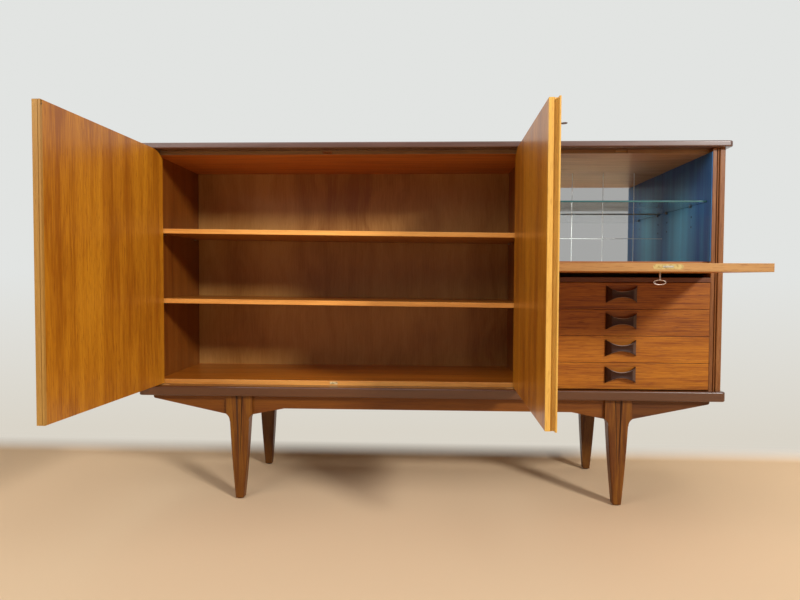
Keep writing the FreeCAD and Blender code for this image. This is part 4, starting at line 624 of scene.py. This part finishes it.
# %% Shelf glass
EDGE_FADE, END_FADE = (.0012, .0008), (.002, .001)
shelf_low, shelf_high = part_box("glass_shelf")
glass_finish, tree = fresh_material("shelf_glass")
spot = here_xyz(tree)
front_edge = steps(tree, spot[Y], *(shelf_low.y + far for far in EDGE_FADE))
rear_edge = steps(tree, spot[Y], *(shelf_high.y - far for far in EDGE_FADE))
end = sums(tree, "MAXIMUM", steps(tree, spot[X], *(shelf_low.x + far for far in END_FADE)),
           steps(tree, spot[X], *(shelf_high.x - far for far in END_FADE)))
smear = noise(tree, here(tree), 14.0, 5.0)
glass = put(tree, "BsdfPrincipled", {
    "Base Color": paint(.97, .995, .985), "Transmission Weight": 1.0, "IOR": 1.45,
    "Roughness": steps(tree, smear, .5, .8, 0, .03)})
green = blend(tree, steps(tree, smear, .3, .7), paint(.025, .115, .12), paint(.05, .17, .17))
darkened = blend(tree, end, green, paint(.008, .022, .03))
ground = put(tree, "BsdfPrincipled", {
    "Base Color": blend(tree, rear_edge, darkened, paint(.42, .48, .47)), "Roughness": .25})
edges = sums(tree, "MAXIMUM", sums(tree, "MAXIMUM", front_edge, rear_edge), end)
sheet = put(tree, "MixShader", {0: sums(tree, "MULTIPLY", edges, .9), 1: glass.outputs[0],
                                2: ground.outputs[0]})
clear_way = put(tree, "BsdfTransparent", {"Color": paint(.93, .97, .96)})
show(tree, put(tree, "MixShader", {0: put(tree, "LightPath").outputs["Is Shadow Ray"],
                                   1: sheet.outputs[0], 2: clear_way.outputs[0]}))
print("glass shelf mm thick:", round(1000 * (shelf_high.z - shelf_low.z), 1))

# %% [markdown]
# ## Every node gets its finish
# Each node of the solid model names the finish it wants. Giving them out by hand would repeat
# the record, so the record's own list is read.

# %% Assign
finishes = dict(woods, **metals, mirror=mirror_finish, blue_glass=blue_finish,
                clear_glass=glass_finish)
for part in frame["record"]["subparts"]:
    for slot in nodes[part["node"]].material_slots:
        slot.material = finishes[part["material_slot"]]
print("finishes:", len(finishes))

# %% [markdown]
# ## Skin over rings
# The pulls are carved and the keys are cast, so their sections change smoothly. They could be
# cut from blocks with booleans, which leaves hard edges. Here a piece is a row of rings of
# points with a skin over them. Its faces have to point outwards. Blender could turn them once
# the mesh is made, but the sign of the volume tells it beforehand for the whole array.


# %% Quads over rings
def outward_faces(rings, closed):
    """Quads between neighbouring rings, and a cap at each end unless the row of rings closes.

    The sum of point . normal over the quads is three times their volume; where it is negative
    the quads are turned round. The ends' caps are turned where the first ring runs the wrong
    way about the line from the first ring's middle to the last one's.
    """
    n, m = rings.shape[:2]
    row = np.arange(n if closed else n - 1)[:, None]
    col = np.arange(m)[None, :]
    after, beside = (row + 1) % n, (col + 1) % m
    quads = np.stack([row * m + col, after * m + col, after * m + beside, row * m + beside], -1)
    quads = quads.reshape(-1, 4)
    corners = rings.reshape(-1, 3)
    a, b, c, d = (corners[quads[:, k]] for k in range(4))
    middle = corners.mean(0)
    if np.einsum("ij,ij->", (a + b + c + d) / 4 - middle, np.cross(c - a, d - b)) < 0:
        quads = quads[:, ::-1]
    if closed:
        return quads.tolist()
    caps = [np.arange(m)[::-1], np.arange(m) + (n - 1) * m]
    flow = rings[-1].mean(0) - rings[0].mean(0)
    spokes = rings[0] - rings[0].mean(0)
    if np.dot(np.cross(spokes, np.roll(spokes, -1, 0)).sum(0), flow) < 0:
        caps = [cap[::-1] for cap in caps]
    return quads.tolist() + [cap.tolist() for cap in caps]


print("quads ready")

# %% [markdown]
# Points and faces become a mesh, shaded soft, but sharp where two faces meet at more than 40
# degrees. A modifier could split those edges; marking them keeps the mesh as it is. The piece
# then rides with its body, names its finish and takes the place of its plain solid.

# %% Skin
SHARP = math.radians(40)


def new_object(name, points, faces):
    """A mesh of points and faces, linked to the scene as an object at the origin."""
    mesh = bpy.data.meshes.new(name)
    mesh.from_pydata(points.tolist(), [], faces)
    made = bpy.data.objects.new(name, mesh)
    bpy.context.scene.collection.objects.link(made)
    return made


def skin(name, parts, finish, rider, replaced, worn=None):
    """One piece from closed parts. A part is (rings, closed): an array of n rings of m points."""
    points, faces, start = [], [], 0
    for rings, closed in parts:
        faces += [[start + corner for corner in face] for face in outward_faces(rings, closed)]
        points.append(rings.reshape(-1, 3))
        start += len(points[-1])
    made = new_object(name, np.concatenate(points), faces)
    made.data.shade_smooth()
    made.data.set_sharp_from_angle(angle=SHARP)
    made.data.materials.append(finishes[finish])
    # Each point's share of the painted highlight.
    if worn is not None:
        painted_highlight = made.data.attributes.new("worn", "FLOAT", "POINT")
        painted_highlight.data.foreach_set("value", worn.ravel())
    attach(made, rider)
    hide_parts(replaced)
    return made


print("skin ready")

# %% [markdown]
# ## Carved pulls
# Each pull is one block of dark wood, wider at the front than at the drawer, hollowed above and
# below to a narrow waist, with a carved slope at each end and a shallow hollow in the face. The
# half height of the face along the block is an arc of a circle through its ends and its waist:
# half height = waist + radius - root(radius^2 - x^2). The depth is full in the middle and falls
# over a short hollow slope to the thin ends.

# %% Pulls
WAIST_SHARE, ROOT_WAIST_SHARE, ROOT_END_SHARE = .355, .24, .9
SLOPE_LONG, SLOPE_HOLLOW, END_THIN, RIM, HOLLOW = .016, .22, .006, .0021, .0014
PLACES, RIM_POINTS, FACE_POINTS = 61, 5, 11


def arc_height(x, end, rise):
    """radius - root(radius^2 - x^2), the height of an arc that has risen by rise at x = end."""
    radius = (end ** 2 + rise ** 2) / (2 * rise)
    return radius - np.sqrt(radius ** 2 - np.minimum(np.abs(x), end) ** 2)


def carved_pull(node, rider):
    """A bow-tie block: one ring of points round the section at each of 61 places along it.

    A ring runs from the lower root over the lower rim, across the hollow face and over the upper
    rim to the upper root. The places are end * sin(angle), so they crowd towards both ends. With
    s from 0 to 1 over the end's slope, depth = full - (full - thin) * (s - .22 s sin(pi s)).
    """
    low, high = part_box(node)
    middle = np.array([(low.x + high.x) / 2, high.y, (low.z + high.z) / 2])
    end, tall, out = (high.x - low.x) / 2, (high.z - low.z) / 2, high.y - low.y
    waist, root_waist = WAIST_SHARE * tall, ROOT_WAIST_SHARE * tall
    x = end * np.sin(np.linspace(-math.pi / 2, math.pi / 2, PLACES))
    face = waist + arc_height(x, end, tall - waist)
    root = root_waist + arc_height(x, end, ROOT_END_SHARE * tall - root_waist)
    into = np.clip((np.abs(x) - (end - SLOPE_LONG)) / SLOPE_LONG, 0, 1)
    depth = out - (out - END_THIN) * (into - SLOPE_HOLLOW * np.sin(math.pi * into) * into)
    rim = np.minimum(RIM, depth / 3)
    turn = np.linspace(0, math.pi / 2, RIM_POINTS)
    across = np.linspace(-1, 1, FACE_POINTS + 2)[1:-1]
    dips = HOLLOW * (1 - across ** 2)
    rim_columns = [(face - rim * (1 - np.cos(a)), -depth + rim * (1 - np.sin(a))) for a in turn]
    columns = [(-root, 0 * x)] + [(-z, y) for z, y in rim_columns]
    columns += [((face - rim) * s, -depth + dip) for s, dip in zip(across, dips)]
    columns += rim_columns[::-1] + [(root, 0 * x)]
    rings = np.stack([np.stack([x, y, z], -1) for z, y in columns], 1) + middle
    # Painted highlights per point: strong along the upper rim, weak along the lower rim and on the face near the
    # right end.
    worn = np.zeros(rings.shape[:2])
    inward = np.clip(1 - (x / end) ** 2, 0, 1)[:, None]
    lower_rim, hollow_face, upper_rim = slice(3, 5), slice(6, 17), slice(18, 20)
    worn[:, upper_rim] = .8 * inward ** 2
    worn[:, lower_rim] = .2 * inward
    worn[:, hollow_face] = .10 * np.clip((x - (end - SLOPE_LONG)) / .006, 0, 1)[:, None]
    return skin("carved_" + node, [(rings, False)], "wood_pull", rider, node, worn)


pulls = [carved_pull("drawer_%s_pull" % word, "drawer_" + word)
         for word in ("one", "two", "three", "four")]
print("pulls:", len(pulls), "faces each:", len(pulls[0].data.polygons))

# %% [markdown]
# ## Keys
# A cast key has an oval ring of round wire, a collar, a stem and a bit. It could be built from
# ready tori and cylinders, which would meet in hard circles. Here the ring is a tube along an
# ellipse, the stem a turned profile and the bit a small plate with a notch, each skinned over
# rings.

# %% Shapes of a key
RING_LONG, RING_WIDE, WIRE, STEM = .036, .0154, .0012, .0023
RING_PLACES, WIRE_POINTS, STEM_POINTS = 64, 12, 20
BIT_HALF_THICK, BIT_START = .0012, .001
COLLAR = [(.0002, .0), (.0003, .0014), (-.0004, .0015), (-.0009, .0024), (-.0013, .0038),
          (-.0017, .0040), (-.0023, .0040), (-.0028, .0036), (-.0029, STEM)]
BIT = np.array([(0, 0), (-.0106, 0), (-.0106, .0022), (-.0085, .0022), (-.0085, .0038),
                (-.0106, .0038), (-.0106, .006), (0, .006)])


def ring_tube(place):
    """A tube of radius wire round the ellipse (a cos t, b sin t), with its circle on the normal.

    It is a quarter thicker where the stem joins it: wire * (1 + .25 e^-((t - 1.5 pi) / .35)^2).
    """
    t = np.linspace(0, 2 * math.pi, RING_PLACES, endpoint=False)[:, None]
    s = np.linspace(0, 2 * math.pi, WIRE_POINTS, endpoint=False)[None, :]
    a, b = RING_LONG / 2 - WIRE, RING_WIDE / 2 - WIRE
    tilt = np.arctan2(a * np.sin(t), b * np.cos(t))
    thick = WIRE * (1 + .25 * np.exp(-((t - 1.5 * math.pi) / .35) ** 2))
    return place(a * np.cos(t) + thick * np.cos(s) * np.cos(tilt),
                 b * np.sin(t) + thick * np.cos(s) * np.sin(tilt), thick * np.sin(s) + 0 * t)


def turned_stem(place, root, long):
    """The profile of collar and stem, (along, radius), turned about the key's axis."""
    end = [(-long + .0006, STEM), (-long, STEM - .0005), (-long, .0)]
    profile = np.array(COLLAR + end)
    circle = np.linspace(0, 2 * math.pi, STEM_POINTS, endpoint=False)[None, :]
    along, radius = profile[:, :1], np.maximum(profile[:, 1:], 1e-5)
    return place(radius * np.cos(circle), root + along + 0 * circle, radius * np.sin(circle))


print("key ring mm:", 1000 * RING_LONG, "by", 1000 * RING_WIDE)

# %% [markdown]
# A key stands on three directions of its own: across the ring, out from the stem to the ring,
# and the lift that is square to both. Each shape is worked out in these and then placed in the
# world, so the same lines make the key of the door, which points sideways, and the key of the
# flap, which hangs down. The door's key is a little turned in its lock, so its ring is seen
# almost from the edge.


# %% Keys
def key(node, rider, out, across, turned):
    """A key whose point (u, v, w) lies at head + u * across + v * out + w * lift.

    Out points from the stem to the ring, across lies along the ring before it is turned, and
    lift is square to both.
    """
    low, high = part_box(node)
    out, across = Vector(out).normalized(), Vector(across).normalized()
    across = math.cos(turned) * across + math.sin(turned) * out.cross(across)
    lift = out.cross(across)
    reach = sum(abs(c) * half for c, half in zip(out, (high - low) / 2))
    stem_long = 2 * reach - RING_WIDE + WIRE
    head = (low + high) / 2 + out * (reach - RING_WIDE / 2)
    start, to_u, to_v, to_w = (np.array(v[:]) for v in (head, across, out, lift))

    def place(u, v, w):
        return start + u[..., None] * to_u + v[..., None] * to_v + w[..., None] * to_w
    root = WIRE - RING_WIDE / 2
    base = root - stem_long + BIT_START
    bit = np.stack([place(BIT[:, 0], base + BIT[:, 1], np.full(len(BIT), w))
                    for w in (-BIT_HALF_THICK, BIT_HALF_THICK)])
    parts = [(ring_tube(place), True), (turned_stem(place, root, stem_long), False), (bit, False)]
    return skin("cast_" + node, parts, "key_metal", rider, node)


DOOR_KEY_TURN = .15
hinge = next(joint for joint in frame["joints"] if joint["name"] == "right_door_hinge")
door_turn = -math.radians(hinge["range_deg"][0])
door_along = (math.cos(door_turn), math.sin(door_turn), 0)
door_out = (math.sin(door_turn), -math.cos(door_turn), 0)
door_key = key("door_key", "right_door_key", door_out, door_along, DOOR_KEY_TURN)
flap_key = key("flap_key", "flap_key", (0, 0, -1), (1, 0, 0), .0)
print("faces of each key:", len(door_key.data.polygons), len(flap_key.data.polygons))

# %% [markdown]
# ## Floor and backdrop
# The cabinet stands on a pale floor before a white wall. Two planes would meet in a hard line,
# so one sheet is carried from the floor up the wall through a small quarter circle.

# %% Backdrop
HALF_WIDE, WALL_TALL, WALL_GAP, BEND = 9, 6, .16, .06


def sweep_surface(name, profile, low_x, high_x):
    """A profile of (y, z) points carried along X: two rows of points, one quad per step."""
    count = len(profile)
    points = np.concatenate([np.column_stack([np.full(count, x), profile])
                             for x in (low_x, high_x)])
    first = np.arange(count - 1)
    faces = np.column_stack([first, first + count, first + count + 1, first + 1])
    return new_object(name, points, faces.tolist())


wall_y = cad_box[1][1] + WALL_GAP
angle = np.linspace(0, math.pi / 2, 13)
cove = np.column_stack([wall_y - BEND + BEND * np.sin(angle), BEND - BEND * np.cos(angle)])
backdrop = sweep_surface("backdrop", np.vstack([[-HALF_WIDE, 0], cove, [wall_y, WALL_TALL]]),
                         -HALF_WIDE, HALF_WIDE)
print("wall at y", round(wall_y, 3))

# %% [markdown]
# A real wall is bright because light comes to it from all around, and lamps that did the same
# would light the wood as well. So the wall glows for the camera and for reflections alone, which
# keeps it white and adds no light. The floor has no glow, so that it keeps the cabinet's shadow.
# A ray from behind passes through, for views from the back.

# %% Backdrop finish
stage_finish, tree = fresh_material("pale_stage")
height = here_xyz(tree)[Z]
rise = steps(tree, height, .001, .05)
pale = put(tree, "BsdfDiffuse", {
    "Color": blend(tree, rise, paint(.80, .59, .38), paint(.78, .78, .76))})
glow = put(tree, "Emission", {"Strength": 1.0, "Color": blend(
    tree, steps(tree, height, .1, .8), paint(.70, .66, .58), paint(.76, .775, .76))})
ray = put(tree, "LightPath").outputs
looked_at = sums(tree, "MAXIMUM", ray["Is Camera Ray"], ray["Is Glossy Ray"])
white = put(tree, "MixShader", {0: sums(tree, "MULTIPLY", looked_at, rise),
                                1: pale.outputs[0], 2: glow.outputs[0]})
clear = put(tree, "BsdfTransparent")
show(tree, put(tree, "MixShader", {0: put(tree, "NewGeometry").outputs["Backfacing"],
                                   1: white.outputs[0], 2: clear.outputs[0]}))
backdrop.data.materials.append(stage_finish)
print("backdrop finished")

# %% [markdown]
# ## Light
# Daylight comes from the right and gives the flap its slanting shadow. A sun lamp could stand
# for it; one small area lamp far away gives the same slant with a softer border. Walls throw
# light back from wide surfaces: two large weak lamps fill the shade without a shadow of their
# own. The sky behind everything is dim, but brighter in reflections, so that gloss has something
# pale to show.

# %% World and lamps
WORLD_DIM, WORLD_MIRRORED = .09, .45
world = bpy.data.worlds.new("studio")
bpy.context.scene.world = world
world.use_nodes = True
tree = world.node_tree
sky = tree.nodes["Background"]
sky.inputs["Color"].default_value = paint(.97, .985, 1.0)
mirrored = put(tree, "LightPath").outputs["Is Glossy Ray"]
tree.links.new(steps(tree, mirrored, 0.0, 1.0, WORLD_DIM, WORLD_MIRRORED), sky.inputs["Strength"])


def area_lamp(name, target, away, distance, wide, high, watts, colour):
    """A rectangular lamp at some distance along a direction, turned to face its target."""
    data = bpy.data.lights.new(name, "AREA")
    data.shape = "RECTANGLE"
    data.size, data.size_y, data.energy, data.color = wide, high, watts, colour
    lamp = bpy.data.objects.new(name, data)
    bpy.context.scene.collection.objects.link(lamp)
    lamp.location = target + distance * Vector(away).normalized()
    lamp.rotation_mode = "QUATERNION"
    lamp.rotation_quaternion = (target - lamp.location).to_track_quat("-Z", "Y")
    return lamp


bar, front = Vector((.66, front_y, .70)), Vector((0, front_y, .80))
inside = Vector((0, front_y + .2, .80))
lamps = [
    area_lamp("window_light", bar, (.514, -.762, .43), 6.5, .85, .85, 325, (1.0, .98, .95)),
    area_lamp("room_light", front, (-.60, -.66, .45), 4.5, 2.4, 1.8, 62, (1.0, .985, .96)),
    area_lamp("ceiling_light", inside, (-.05, -.62, .78), 3.2, 3.4, 1.8, 34, (.97, .98, 1.0))]
bpy.context.scene.view_settings.view_transform = "Standard"
print("lamps at", [tuple(round(c, 2) for c in lamp.location) for lamp in lamps])
